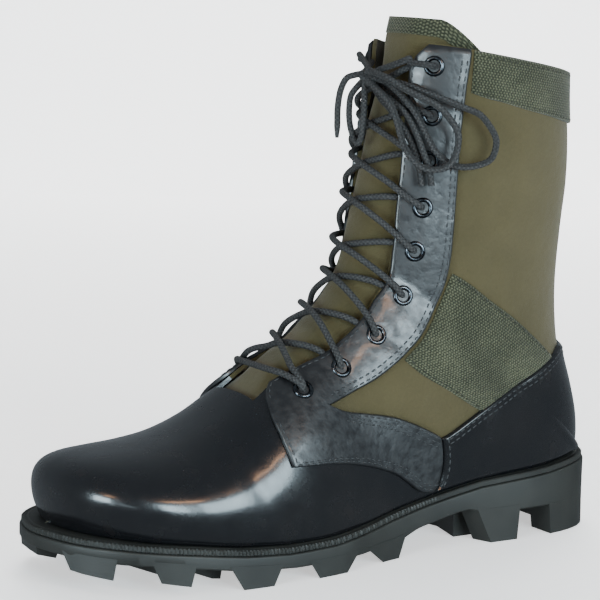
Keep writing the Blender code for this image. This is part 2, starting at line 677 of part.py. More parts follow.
def is_leather(center):
    """Vamp, and the low quarter below the strip and the counter's top line."""
    x = center.x * 1000 + LENGTH / 2
    line = [Level(0, 88), Level(60, 72), Level(106, 52), Level(150, 66), Level(196, 78), Level(206, 130)]
    return center.z * 1000 < level(line, x) or x > 206


def make_tongue(canvas):
    """Inside the upper below, proud of the throat's gap in the middle, and higher than the collar."""
    low_row, high_row, rows, columns = 10.2, TOP_ROW + 0.86, 22, 6
    sunk = WALL + 2 * LAY_GAP + 0.1
    bulge, thickness = 4.0, 1.8
    outer, inner, cells = {}, {}, []
    for i in range(rows + 1):
        for j in range(-columns, columns + 1):
            share = abs(j) / columns
            top = high_row - 1.35 * max(share - 0.45, 0.0) ** 1.5 / 0.4
            s = low_row + (top - low_row) * i / rows
            t = share * (0.29 + 0.17 * min(max((s - 14) / 12, 0.0), 1.0))
            edge = throat_turn(min(s, TOP_ROW))
            lift = min(max((edge * 0.92 - t) / (edge * 0.55), 0.0), 1.0)
            lift = lift * lift * (3 - 2 * lift)
            lift *= min(max((s - THROAT_ROW - 0.1) / 1.2, 0.0), 1.0)
            lean = max(s - TOP_ROW + 3.0, 0.0)
            rise = -sunk + bulge * lift - 1.2 * lean
            outer[i, j] = skin_offset(s, math.copysign(t, j), rise)
            inner[i, j] = skin_offset(s, math.copysign(t, j), rise - thickness)
    for i in range(rows):
        for j in range(-columns, columns):
            cells.append([(i, j), (i + 1, j), (i + 1, j + 1), (i, j + 1)])
    return shell("tongue", cells, outer, inner, canvas)


# Overlays

def spread_spots(points, count):
    """Side view points spread evenly along a line."""
    line = smooth_curve(points, 8 * len(points))
    lengths = np.concatenate([[0], np.cumsum(np.linalg.norm(np.diff(line, axis=0), axis=1))])
    return [Spot(np.interp(at, lengths, line[:, 0]), np.interp(at, lengths, line[:, 1]))
            for at in np.linspace(0, lengths[-1], count)]


def spread_places(pairs, count):
    """(s, t) places spread evenly, by length on the skin, along a line of them."""
    fine = []
    for (s1, t1), (s2, t2) in zip(pairs, pairs[1:]):
        fine += [(s1 + (s2 - s1) * k / 12, t1 + (t2 - t1) * k / 12) for k in range(12)]
    fine = np.array(fine + [pairs[-1]])
    points = np.array([skin_point(s, t) for s, t in fine])
    lengths = np.concatenate([[0], np.cumsum(np.linalg.norm(np.diff(points, axis=0), axis=1))])
    return [(float(np.interp(at, lengths, fine[:, 0])), float(np.interp(at, lengths, fine[:, 1])))
            for at in np.linspace(0, lengths[-1], count)]


def edge_places(points, count, side, ends=()):
    """The same along side view points, which may go on to places on the back seam."""
    fine = spread_spots(points, 4 * len(points))
    return spread_places([spot_on_skin(spot, side) for spot in fine] + list(ends), count)


def blend(a, b, share):
    return tuple(one + (other - one) * share for one, other in zip(a, b))


def make_eyestay(name, side, leather):
    """Lace facing down the throat, turning at its foot into the strip that runs back to the sole."""
    throat_rows, tab_rows, strip_rows, across = 16, 5, 10, 5
    top, foot = TOP_ROW - 0.06, 12.0
    front = []
    for k in range(throat_rows + 1):
        s = top + (foot - top) * k / throat_rows
        front.append((s, side * (throat_turn(s) + 0.004)))
    front += edge_places(TAB_FRONT, tab_rows, side)
    front += edge_places(STRIP_LOWER, strip_rows, side)
    back = edge_places(EYESTAY_BACK, throat_rows + 1, side)
    back.append(back[-1])
    back += edge_places(STRIP_UPPER, tab_rows - 1 + strip_rows, side)
    spots = [[blend(one, other, k / across) for k in range(across + 1)] for one, other in zip(front, back)]
    return patch(name, spots, LAY_GAP + 0.25, LAY_GAP + FACING, leather)


def wrap_patch(name, upper_edge, lower_edge, across, low, high, material):
    """A band from the lateral side round the back to the medial side."""
    lines = [[blend(one, other, k / across) for k in range(across + 1)]
             for one, other in zip(upper_edge, lower_edge)]
    medial = [[(s, -t) for s, t in line] for line in reversed(lines[:-1])]
    return patch(name, lines + medial, low, high, material)


def make_counter(leather):
    """Rides a little higher than the bands, because the heel curves most under it."""
    count, lift, rise = 21, 3.2, LAY_GAP + 0.8
    top = edge_places(COUNTER_TOP, count, 1, [seam_at(COUNTER_BACK_Z)])
    feet = [Spot(x, base_height(x) + lift) for x in COUNTER_FEET]
    low = edge_places(feet, count, 1, [seam_at(base_height(HEEL_ROWS[-1].base_x) + lift)])
    return wrap_patch("heel_counter", top, low, 5, rise, rise + FACING, leather)


def make_cuff(webbing):
    count = 13
    low = edge_places(CUFF_LOWER, count, 1, [seam_at(CUFF_BACK_Z)])
    near_top = TOP_ROW - 0.04
    front = spot_on_skin(CUFF_FRONT, 1)[1]
    top = spread_places([(near_top, front), (near_top, 0.5), (near_top, 0.75), (near_top, 1.0)], count)
    return wrap_patch("cuff_webbing", top, low, 2, LAY_GAP, LAY_GAP + WEBBING, webbing)


def make_ankle_band(name, side, webbing):
    """Slanted band from the eyestay's back edge down to the counter, which bounds it."""
    count, across = 9, 5
    above, below = spread_spots(ANKLE_UPPER, count), spread_spots(ANKLE_LOWER, count)
    front = spread_spots(ANKLE_FRONT, across + 1)
    spots = []
    for i in range(count):
        line = []
        for k in range(across + 1):
            straight, first = (np.array(blend(above[n], below[n], k / across)) for n in (i, 0))
            bowed = straight + (np.array(front[k]) - first) * (1 - i / (count - 1))
            line.append(spot_on_skin(Spot(*bowed), side))
        spots.append(line)
    return patch(name, spots, LAY_GAP, LAY_GAP + WEBBING, webbing)


def make_eyelet(name, spot, side, metal):
    """Rolled ring seated on the eyestay."""
    s, t = spot_on_skin(spot, side)
    around = [skin_normal(s + ds, t + dt) for ds in (-0.25, 0.25) for dt in (-0.04, 0.04)]
    out = sum(around, Vector()).normalized()
    seat = skin_offset(s, t, LAY_GAP + FACING + 2 * LAY_GAP)
    first = out.orthogonal().normalized()
    second = out.cross(first)
    profile = [(EYELET_RADIUS, 0.0), (EYELET_RADIUS - 0.7, EYELET_RISE), (EYELET_BORE + 0.5, EYELET_RISE),
               (EYELET_BORE, 0.0)]
    ring = bmesh.new()
    sides = 10
    loops = []
    for k in range(sides):
        turn = 2 * math.pi * k / sides
        ray = first * math.cos(turn) + second * math.sin(turn)
        loops.append([ring.verts.new(place(*(seat + ray * r + out * h))) for r, h in profile])
    for k in range(sides):
        for m in range(len(profile)):
            ahead, nxt = loops[(k + 1) % sides], (m + 1) % len(profile)
            ring.faces.new([loops[k][m], ahead[m], ahead[nxt], loops[k][nxt]])
    return add_object(name, ring, metal)


# Lace

def tube_mesh(points, radius, sides=5):
    """Closed tube along points, with flat ends."""
    tube = bmesh.new()
    rings = []
    for k, point in enumerate(points):
        along = (points[min(k + 1, len(points) - 1)] - points[max(k - 1, 0)]).normalized()
        first = along.cross(Vector((1, 0, 0))).normalized()
        second = along.cross(first)
        turns = [2 * math.pi * m / sides for m in range(sides)]
        rings.append([tube.verts.new(place(*(point + (first * math.cos(a) + second * math.sin(a)) * radius)))
                      for a in turns])
    for one, two in zip(rings, rings[1:]):
        for m in range(sides):
            tube.faces.new([one[m], one[(m + 1) % sides], two[(m + 1) % sides], two[m]])
    tube.faces.new(rings[0])
    tube.faces.new(list(reversed(rings[-1])))
    return tube


def strand_points(start_s, end_s, side, count=5):
    """Across the throat from one eyestay's edge to the other, over the tongue."""
    points = []
    for k in range(count):
        share = k / (count - 1)
        s = start_s + (end_s - start_s) * share
        reach = 0.84 * throat_turn(s)
        points.append(skin_offset(s, side * reach * (1 - 2 * share), LACE_RISE))
    return points


def make_crossings(cord):
    """One X between each pair of eyelet levels, and a bar below the lowest."""
    levels = [spot_on_skin(spot, 1)[0] for spot in EYELETS]
    for number, (high, low) in enumerate(zip(levels, levels[1:]), 1):
        inset = (high - low) * CROSSING_SHARE
        strands = [tube_mesh(strand_points(low + inset, high - inset, side), LACE / 2) for side in (1, -1)]
        name = f"lace_cross_{number}"
        union(add_object(name, strands[0], cord), add_object(name + " other", strands[1], cord, helper=True))
    bar = tube_mesh(strand_points(levels[-1] - 0.4, levels[-1] - 0.4, 1), LACE / 2)
    add_object("lace_bar", bar, cord)


def make_cord(name, route, material):
    fine = smooth_curve(route, 12 * len(route))
    length = np.concatenate([[0], np.cumsum(np.linalg.norm(np.diff(fine, axis=0), axis=1))])
    marks = np.linspace(0, length[-1], max(int(round(length[-1] / CORD_STEP)), 2) + 1)
    points = [place(*(float(np.interp(mark, length, fine[:, axis])) for axis in range(3))) for mark in marks]
    curve = bpy.data.curves.new(name, "CURVE")
    curve.dimensions = "3D"
    curve.bevel_depth = LACE / 2000
    curve.bevel_resolution = 2
    curve.use_fill_caps = True
    spline = curve.splines.new("POLY")
    spline.points.add(len(points) - 1)
    for spot, point in zip(spline.points, points):
        spot.co = (*point, 1.0)
    curve.materials.append(material)
    item = bpy.data.objects.new(name, curve)
    bpy.context.scene.collection.objects.link(item)


def make_knot(cord):
    knot = bmesh.new()
    bmesh.ops.create_uvsphere(knot, u_segments=10, v_segments=7, radius=0.001)
    bmesh.ops.scale(knot, vec=KNOT_HALVES, verts=knot.verts)
    bmesh.ops.translate(knot, vec=place(*KNOT), verts=knot.verts)
    add_object("lace_knot", knot, cord)


def build():
    clear_scene()
    rubber = make_material("rubber", (0.040, 0.042, 0.038), 0.62)
    ledge_rubber = make_material("welt rubber", (0.045, 0.047, 0.044), 0.55)
    board = make_material("insole board", (0.055, 0.050, 0.042), 0.85)
    leather = make_material("black leather", (0.012, 0.013, 0.016), 0.22)
    canvas = make_material("olive canvas", (0.150, 0.135, 0.075), 0.9)
    webbing = make_material("green webbing", (0.075, 0.090, 0.052), 0.88)
    metal = make_material("black metal", (0.035, 0.038, 0.042), 0.32, 0.85)
    cord = make_material("black lace", (0.025, 0.026, 0.026), 0.8)
    make_sole(rubber, ledge_rubber, board)
    make_upper(canvas, leather)
    make_tongue(canvas)
    make_counter(leather)
    make_cuff(webbing)
    for side, side_name in ((1, "lateral"), (-1, "medial")):
        make_eyestay("eyestay_" + side_name, side, leather)
        make_ankle_band("ankle_webbing_" + side_name, side, webbing)
        for number, spot in enumerate(EYELETS, 1):
            make_eyelet(f"eyelet_{side_name}_{number}", spot, side, metal)
    make_crossings(cord)
    make_knot(cord)
    for name, route in CORD_ROUTES.items():
        make_cord(name, route, cord)


build()
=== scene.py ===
import math

import bmesh
import bpy
import numpy as np
from mathutils import Matrix, Vector


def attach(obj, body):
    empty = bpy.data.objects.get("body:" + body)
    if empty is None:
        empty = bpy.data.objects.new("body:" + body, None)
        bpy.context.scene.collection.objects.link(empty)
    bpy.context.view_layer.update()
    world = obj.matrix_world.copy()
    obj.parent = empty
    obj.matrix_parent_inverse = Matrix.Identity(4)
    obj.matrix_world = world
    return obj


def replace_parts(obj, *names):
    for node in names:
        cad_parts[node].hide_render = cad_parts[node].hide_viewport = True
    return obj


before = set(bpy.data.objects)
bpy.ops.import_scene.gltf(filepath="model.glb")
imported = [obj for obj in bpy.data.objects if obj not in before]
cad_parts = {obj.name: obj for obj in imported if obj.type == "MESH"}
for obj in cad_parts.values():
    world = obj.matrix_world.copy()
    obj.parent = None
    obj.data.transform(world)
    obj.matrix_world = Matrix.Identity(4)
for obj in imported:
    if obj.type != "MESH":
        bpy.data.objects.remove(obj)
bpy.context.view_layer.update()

# Places are in millimetres: x from the back of the heel, y to the outer side of the foot, z up.
bootFrame = {"length": 308.0, "middleY": -0.8}


def place(points):
    moved = np.asarray(points, float) - np.array([bootFrame["length"] / 2, bootFrame["middleY"], 0.0])
    return moved / 1000


# Camera, at the photo's angle to the boot

cameraSet = {
    "turn": 0.5669, "lift": 0.1520, "roll": 0.0268, "distance": 1041.9,
    "lookAt": (169.1, 0.0, 122.2), "lens": 129.8,
}


def makeCamera():
    turn, lift = cameraSet["turn"], cameraSet["lift"]
    back = Vector((math.sin(turn) * math.cos(lift), math.cos(turn) * math.cos(lift), math.sin(lift)))
    camera = bpy.data.objects.new("camera", bpy.data.cameras.new("camera"))
    bpy.context.scene.collection.objects.link(camera)
    camera.data.lens = cameraSet["lens"]
    target = Vector(place(cameraSet["lookAt"]))
    spot = target + back * cameraSet["distance"] / 1000
    level = (-back).to_track_quat("-Z", "Y").to_matrix().to_4x4()
    camera.matrix_world = Matrix.Translation(spot) @ level @ Matrix.Rotation(cameraSet["roll"], 4, "Z")
    camera.data.clip_start = 0.05
    bpy.context.scene.camera = camera


makeCamera()
print("camera ready")


# Shader maths: a wire is one output socket, and expressions on wires add Math nodes

class Wire:
    def __init__(self, graph, socket):
        self.graph = graph
        self.socket = socket

    def math(self, operation, first, second=0.0):
        return self.graph.node("ShaderNodeMath", {"operation": operation}, {0: first, 1: second})

    def __add__(self, other):
        return self.math("ADD", self, other)

    def __radd__(self, other):
        return self.math("ADD", other, self)

    def __sub__(self, other):
        return self.math("SUBTRACT", self, other)

    def __rsub__(self, other):
        return self.math("SUBTRACT", other, self)

    def __mul__(self, other):
        return self.math("MULTIPLY", self, other)

    def __rmul__(self, other):
        return self.math("MULTIPLY", other, self)

    def sine(self):
        return self.math("SINE", self)

    def absolute(self):
        return self.math("ABSOLUTE", self)

    def clamped(self):
        return self.math("MINIMUM", self.math("MAXIMUM", self, 0.0), 1.0)


class Graph:
    def __init__(self, name):
        self.material = bpy.data.materials.new(name)
        self.material.use_nodes = True
        self.tree = self.material.node_tree
        self.shader = self.tree.nodes["Principled BSDF"]

    def node(self, kind, settings=None, values=None, output=0):
        made = self.tree.nodes.new(kind)
        for key, value in (settings or {}).items():
            setattr(made, key, value)
        for key, value in (values or {}).items():
            if isinstance(value, Wire):
                self.tree.links.new(value.socket, made.inputs[key])
            else:
                made.inputs[key].default_value = value
        return Wire(self, made.outputs[output])

    def cloth(self):  # the two directions of the weave, in millimetres
        both = self.node("ShaderNodeUVMap", {"uv_map": "cloth"})
        across = self.node("ShaderNodeSeparateXYZ", {}, {0: both})
        return across, Wire(self, across.socket.node.outputs[1])

    def spots(self):
        return self.node("ShaderNodeTexCoord", {}, {}, "Object")

    def noise(self, size, detail, roughness):  # size in millimetres
        return self.node("ShaderNodeTexNoise", {}, {"Vector": self.spots(), "Scale": 1000 / size,
                                                    "Detail": detail, "Roughness": roughness})

    def mix(self, factor, first, second):  # a mix of two colours
        made = self.tree.nodes.new("ShaderNodeMix")
        made.data_type = "RGBA"
        for key, value in ((0, factor), (6, first), (7, second)):
            if isinstance(value, Wire):
                self.tree.links.new(value.socket, made.inputs[key])
            else:
                made.inputs[key].default_value = value if key == 0 else (*value, 1.0)
        return Wire(self, made.outputs[2])

    def bump(self, height, distance, under=None):  # distance in millimetres, over another bump
        values = {"Height": height, "Distance": distance / 1000}
        if under:
            values["Normal"] = under
        return self.node("ShaderNodeBump", {}, values)

    def finish(self, **sockets):
        for key, value in sockets.items():
            name = key.replace("_", " ")
            if isinstance(value, Wire):
                self.tree.links.new(value.socket, self.shader.inputs[name])
            else:
                self.shader.inputs[name].default_value = value
        return self.material


# Leather: polished and smooth on the vamp and heel, finely pebbled on the eyestays

# The warm colour is a painted brownish sheen, mixed over random patches in makeLeather.
leatherLook = {
    "color": (0.0030, 0.0033, 0.0042), "worn": (0.0085, 0.0075, 0.0075), "warm": (0.016, 0.009, 0.006),
    "cloud": 46.0, "handlingAndSheen": 11.0, "dent": 4.2, "coat": 0.25, "coatRoughness": 0.10,
}
leatherKinds = {
    "polished": {"gloss": 0.25, "grain": 0.9, "cell": 1.1, "grainDepth": 0.035, "waveDepth": 0.5,
                 "dentShare": 0.0, "dentGloss": 0.06, "specular": 0.5},
    "grained": {"gloss": 0.46, "grain": 1.53, "cell": 1.6, "grainDepth": 0.07, "waveDepth": 1.3,
                "dentShare": 0.20, "dentGloss": 0.6, "specular": 0.75},
}


def makeLeather(kind):
    look, graph = {**leatherLook, **leatherKinds[kind]}, Graph(kind + " leather")
    cloud = graph.noise(look["cloud"], 4.0, 0.6)
    handlingAndSheen = graph.noise(look["handlingAndSheen"], 3.0, 0.55)
    base = graph.mix(((cloud - 0.45) * 2.2).clamped() * 0.7, look["color"], look["worn"])
    # Painted warm sheen: a brownish colour on random patches stands in for warm reflections; the same noise
    # also varies the roughness.
    base = graph.mix(((handlingAndSheen - 0.6) * 3.0).clamped() * 0.35, base, look["warm"])
    grain = graph.noise(look["grain"], 3.0, 0.6)
    cells = graph.node("ShaderNodeTexVoronoi", {"feature": "SMOOTH_F1"},
                       {"Vector": graph.spots(), "Scale": 1000 / look["cell"]})
    dents = graph.noise(look["dent"], 2.0, 0.5)
    waves = graph.bump(cloud + dents * look["dentShare"], look["waveDepth"])
    pores = graph.bump(grain * 0.6 + cells * 0.6, look["grainDepth"], waves)
    roughness = look["gloss"] + (handlingAndSheen - 0.5) * 0.22 + (dents - 0.5) * look["dentGloss"]
    return graph.finish(Base_Color=base, Roughness=roughness, Normal=pores, Coat_Weight=look["coat"],
                        Coat_Roughness=look["coatRoughness"], Specular_IOR_Level=look["specular"])


# Canvas and webbing: a plain weave in the cloth's own directions

canvasLook = {"dark": (0.038, 0.032, 0.013), "light": (0.076, 0.063, 0.028), "thread": 0.75, "depth": 0.10,
              "slub": 1.3, "cloud": 38.0, "foldDepth": 1.6}
webbingLook = {"dark": (0.013, 0.015, 0.008), "light": (0.126, 0.132, 0.079), "across": 1.2, "along": 1.7,
               "sway": 1.4, "fuzz": 1.2, "cloud": 22.0, "depth": 0.35}


# The last argument darkens the whole canvas; below 1 it is painted shade.
def makeCanvas(name, shadeScale=1.0):
    look, graph = canvasLook, Graph(name)
    u, v = graph.cloth()
    turn = 2 * math.pi / look["thread"]
    weave = (u * turn).sine() * (v * turn).sine() * 0.5 + 0.5
    slub = graph.noise(look["slub"], 2.0, 0.7)
    cloud = graph.noise(look["cloud"], 5.0, 0.6)
    shade = (weave * 0.28 + slub * 0.5 + cloud * 0.75 - 0.42).clamped()
    light = tuple(value * shadeScale for value in look["light"])
    dark = tuple(value * shadeScale for value in look["dark"])
    folds = graph.bump(cloud, look["foldDepth"])
    threads = graph.bump(weave + slub, look["depth"], folds)
    return graph.finish(Base_Color=graph.mix(shade, dark, light), Roughness=0.93, Normal=threads,
                        Sheen_Weight=0.12, Specular_IOR_Level=0.2)


def makeWebbing(name):
    look, graph = webbingLook, Graph(name)
    u, v = graph.cloth()
    ribs = (u * (math.pi / look["across"])).sine()
    picks = (v * (2 * math.pi / look["along"]) + ribs * look["sway"]).sine() * 0.5 + 0.5
    knots = ribs.absolute() * picks
    fuzz = graph.noise(look["fuzz"], 2.0, 0.7)
    cloud = graph.noise(look["cloud"], 3.0, 0.5)
    shade = (knots * 0.62 + (fuzz - 0.5) * 0.7 + (cloud - 0.5) * 0.5 - 0.02).clamped()
    color = graph.mix(shade, look["dark"], look["light"])
    return graph.finish(Base_Color=color, Roughness=0.9, Normal=graph.bump(knots + fuzz * 0.4, look["depth"]),
                        Sheen_Weight=0.1, Specular_IOR_Level=0.2)


rubberLook = {"dark": (0.010, 0.0105, 0.009), "light": (0.023, 0.0235, 0.020), "roughness": 0.55}


def makeRubber(name):
    look, graph = rubberLook, Graph(name)
    cloud = graph.noise(26.0, 5.0, 0.6)
    fine = graph.noise(0.8, 3.0, 0.6)
    color = graph.mix(((cloud - 0.3) * 1.6).clamped(), look["dark"], look["light"])
    roughness = look["roughness"] + (cloud - 0.5) * 0.25 + (fine - 0.5) * 0.1
    return graph.finish(Base_Color=color, Roughness=roughness, Normal=graph.bump(fine, 0.06),
                        Specular_IOR_Level=0.45)


def makeMetal():
    graph = Graph("dark metal")
    wear = graph.noise(3.0, 4.0, 0.6)
    color = graph.mix(((wear - 0.35) * 2.0).clamped(), (0.020, 0.022, 0.026), (0.16, 0.18, 0.20))
    return graph.finish(Base_Color=color, Roughness=0.24 + (wear - 0.5) * 0.2, Metallic=1.0,
                        Normal=graph.bump(wear, 0.05))


laceLook = {"dark": (0.010, 0.010, 0.011), "light": (0.060, 0.061, 0.060), "braid": 2.1}


def makeLace():
    look, graph = laceLook, Graph("black braid")
    u, v = graph.cloth()
    turn = 2 * math.pi / look["braid"]
    braid = ((u * turn + v * 4).sine() + (u * turn - v * 4).sine()) * 0.25 + 0.5
    fuzz = graph.noise(0.9, 2.0, 0.7)
    color = graph.mix((braid * 0.5 + (fuzz - 0.5) * 0.7).clamped(), look["dark"], look["light"])
    return graph.finish(Base_Color=color, Roughness=0.78, Normal=graph.bump(braid + fuzz * 0.4, 0.35),
                        Specular_IOR_Level=0.35)


def makeThread():
    graph = Graph("thread")
    twist = graph.noise(0.7, 2.0, 0.6)
    color = graph.mix(twist, (0.006, 0.007, 0.008), (0.030, 0.032, 0.034))
    return graph.finish(Base_Color=color, Roughness=0.55, Normal=graph.bump(twist, 0.1))


def makeBoard():
    graph = Graph("insole cloth")
    fuzz = graph.noise(1.1, 3.0, 0.6)
    color = graph.mix(fuzz, (0.030, 0.027, 0.022), (0.085, 0.078, 0.064))
    return graph.finish(Base_Color=color, Roughness=0.95, Normal=graph.bump(fuzz, 0.2))


def makeShadow():
    graph = Graph("dark inside")
    color = graph.mix(graph.noise(1.5, 2.0, 0.5), (0.002, 0.002, 0.002), (0.006, 0.006, 0.006))
    return graph.finish(Base_Color=color, Roughness=0.9)


materials = {
    "leather": makeLeather("polished"),
    "grained": makeLeather("grained"),
    "canvas": makeCanvas("olive canvas"),
    # The lining is the same canvas darkened to 0.8: painted shade for the boot's inside.
    "lining": makeCanvas("canvas lining", 0.8),
    "webbing": makeWebbing("green webbing"),
    "rubber": makeRubber("sole rubber"),
    "metal": makeMetal(),
    "lace": makeLace(),
    "thread": makeThread(),
    "board": makeBoard(),
    "shadow": makeShadow(),
}
print("materials ready")


# Meshes

def addToScene(name, mesh):
    piece = bpy.data.objects.new(name, mesh)
    bpy.context.scene.collection.objects.link(piece)
    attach(piece, "root")
    return piece


def addPiece(name, verts, faces, materialNames, cloth=None, kinds=None, sharp=None):
    mesh = bpy.data.meshes.new(name)
    mesh.from_pydata([tuple(v) for v in place(verts)], [], faces)
    for key in materialNames:
        mesh.materials.append(materials[key])
    if kinds is not None:
        mesh.polygons.foreach_set("material_index", np.asarray(kinds, np.int32))
    if cloth is not None:
        layer = mesh.uv_layers.new(name="cloth")
        corners = np.zeros(len(mesh.loops), np.int32)
        mesh.loops.foreach_get("vertex_index", corners)
        layer.data.foreach_set("uv", np.asarray(cloth, np.float32)[corners].ravel())
    mesh.shade_smooth()
    if sharp:
        mesh.set_sharp_from_angle(angle=math.radians(sharp))
    mesh.validate()
    return addToScene(name, mesh)


def faceOutward(piece, mergeWithin=0.0):
    mesh = bmesh.new()
    mesh.from_mesh(piece.data)
    if mergeWithin:
        bmesh.ops.remove_doubles(mesh, verts=mesh.verts, dist=mergeWithin)
    bmesh.ops.recalc_face_normals(mesh, faces=mesh.faces)
    mesh.to_mesh(piece.data)
    mesh.free()
    return piece


def catmull(a, b, c, d, t):  # the smooth curve from b to c, at share t
    square, cube = 2 * a - 5 * b + 4 * c - d, 3 * b - a - 3 * c + d
    return 0.5 * (2 * b + (c - a) * t + square * t ** 2 + cube * t ** 3)


def smoothLine(points, count, closed=False):
    rows = np.asarray(points, float)
    spans = len(rows) if closed else len(rows) - 1
    along = np.arange(count) * spans / (count if closed else count - 1)
    first = np.minimum(along.astype(int), spans - 1)
    picks = [first - 1, first, first + 1, first + 2]
    picks = [p % len(rows) if closed else np.clip(p, 0, len(rows) - 1) for p in picks]
    return catmull(*(rows[p] for p in picks), (along - first)[:, None])


def lengthAlong(points):
    steps = np.linalg.norm(np.diff(points, axis=0), axis=-1)
    return np.concatenate([np.zeros((1,) + steps.shape[1:]), np.cumsum(steps, axis=0)])


def spreadLine(points, count):
    fine = smoothLine(points, 24 * len(points))
    lengths = lengthAlong(fine)
    marks = np.linspace(0, lengths[-1], count)
    return np.stack([np.interp(marks, lengths, fine[:, axis]) for axis in range(fine.shape[1])], axis=1)


# The last: sole outline, heights and the fan of sections that shapes the upper

lastShape = {
    "outline": [(0, 0, 0), (5, 19, -19), (15, 30, -30), (30, 36, -36), (50, 38.5, -38.5), (80, 38, -37),
                (110, 38, -34), (140, 42, -34), (168, 50, -39), (195, 53.5, -47), (225, 54, -54),
                (250, 51.5, -55.5), (270, 45, -53), (285, 36, -47), (297, 23, -37), (304, 9, -26),
                (308, -8, -8)],  # x, lateral y, medial y
    "wallTop": [(0, 35), (20, 34), (41, 31.6), (71, 29.4), (83, 28.6), (97, 26.2), (119, 22.4), (150, 16.8),
                (177, 13.8), (204, 13.5), (227, 15), (252, 18), (284, 20.8), (308, 22)],
    "ledge": [(0, 6.8), (20, 6.2), (45, 4.6), (90, 3.2), (150, 4), (200, 5.2), (270, 6.5), (295, 8.5),
              (308, 10)],
    "weltThickness": 3.0, "fitGap": 0.3,
}
# crest x, crest z, base x, middle, swell, belly, round
toeRows = [
    (298.0, 25.4, 298.0, -8.0, 0.0, 0.60, 2.0), (299.2, 32.0, 296.6, -8.0, 0.4, 0.62, 2.1),
    (299.8, 38.5, 294.2, -8.0, 0.8, 0.62, 2.2), (299.2, 45.0, 290.6, -7.6, 1.2, 0.63, 2.3),
    (296.6, 50.4, 285.5, -7.0, 1.6, 0.65, 2.4), (291.0, 54.2, 278.5, -6.2, 2.0, 0.66, 2.4),
    (282.0, 56.4, 269.5, -5.2, 2.2, 0.68, 2.4), (269.5, 57.8, 258.5, -4.0, 2.3, 0.70, 2.35),
    (254.0, 59.6, 245.0, -2.8, 2.2, 0.72, 2.3), (237.5, 63.2, 231.0, -1.6, 2.0, 0.74, 2.3),
    (220.5, 70.6, 216.0, -0.6, 1.8, 0.77, 2.4), (205.5, 81.0, 200.0, 0.0, 1.6, 0.80, 2.5),
    (195.0, 90.0, 180.0, 0.0, 1.6, 0.82, 2.45), (184.0, 98.0, 158.0, 0.0, 1.6, 0.80, 2.35),
    (173.0, 105.8, 134.0, 0.0, 1.8, 0.74, 2.25),
]
# crest x, crest z, base x, lateral, medial, belly, round, back round
heelRows = [
    (163.8, 113.5, 110.0, 37.2, -35.6, 0.66, 2.2, 2.2), (157.2, 120.0, 86.0, 37.4, -36.4, 0.63, 2.2, 2.2),
    (152.4, 126.0, 63.0, 37.2, -36.6, 0.62, 2.2, 2.25), (149.0, 131.4, 43.0, 36.8, -36.4, 0.60, 2.2, 2.3),
    (146.6, 136.2, 27.5, 35.6, -35.4, 0.58, 2.2, 2.2), (145.0, 140.4, 18.0, 34.7, -34.6, 0.56, 2.2, 2.1),
    (143.9, 144.0, 12.4, 34.2, -34.0, 0.55, 2.2, 2.4), (143.0, 147.6, 9.2, 34.0, -33.8, 0.54, 2.2, 2.9),
]
# crest x, crest z, back x, back z, half width, belly, round, back round
shaftRows = [
    (141.6, 153.5, 9.4, 52.0, 34.4, 0.53, 2.2, 2.85), (139.8, 160.5, 12.6, 68.0, 34.6, 0.52, 2.2, 2.6),
    (137.8, 168.5, 16.6, 84.0, 34.9, 0.51, 2.2, 2.3), (135.6, 177.0, 18.8, 102.0, 35.4, 0.50, 2.2, 2.1),
    (133.2, 186.5, 20.4, 124.0, 36.0, 0.50, 2.2, 2.1), (130.6, 198.0, 19.6, 150.0, 36.8, 0.50, 2.25, 2.15),
    (128.2, 210.0, 17.4, 174.0, 37.5, 0.50, 2.3, 2.15), (126.0, 222.0, 17.7, 195.0, 38.0, 0.50, 2.3, 2.15),
    (124.2, 234.5, 19.8, 214.0, 38.6, 0.50, 2.3, 2.15), (122.6, 248.0, 21.0, 231.5, 39.0, 0.50, 2.3, 2.15),
]
throat = {  # the first open row, and half the gap's width at each row
    "row": 11,
    "gaps": [(0, 17.5), (12, 18.5), (13, 20.2), (16, 21.2), (18, 20.2), (24, 20), (27, 18.8), (31, 16.4),
             (31.5, 18.6), (32, 24)],
    "widest": 0.62,
}


def level(table, x):
    xs, zs = zip(*table)
    return np.interp(x, xs, zs)


outlineSteps = 16  # steps between two rows of the outline


def outlineSides(inset, followLedge):
    rows = lastShape["outline"]
    loop = [(x, lateral) for x, lateral, medial in rows]
    loop += [(x, medial) for x, lateral, medial in rows[-2:0:-1]]
    dense = smoothLine(loop, len(loop) * outlineSteps, closed=True)
    along = np.roll(dense, -1, axis=0) - np.roll(dense, 1, axis=0)
    along /= np.linalg.norm(along, axis=1)[:, None]
    inward = np.stack([along[:, 1], -along[:, 0]], axis=1)
    ledges = level(lastShape["ledge"], dense[:, 0]) if followLedge else np.zeros(len(dense))
    moved = dense + inward * (inset + ledges)[:, None]
    tip = (len(rows) - 1) * outlineSteps
    return moved[:tip + 1], np.vstack([moved[tip:], moved[:1]])[::-1]


outlineStore = {}  # outlines that are worked out already


def sideY(x, side, inset=0.0, followLedge=False):
    key = (round(inset, 4), followLedge)
    if key not in outlineStore:
        outlineStore[key] = outlineSides(inset, followLedge)
    curve = outlineStore[key][0 if side > 0 else 1]
    order = np.argsort(curve[:, 0])
    return np.interp(x, curve[order, 0], curve[order, 1])


def wallTop(x):
    return level(lastShape["wallTop"], x)


def baseHeight(x):
    return wallTop(x) + 2 * lastShape["fitGap"] + lastShape["weltThickness"]


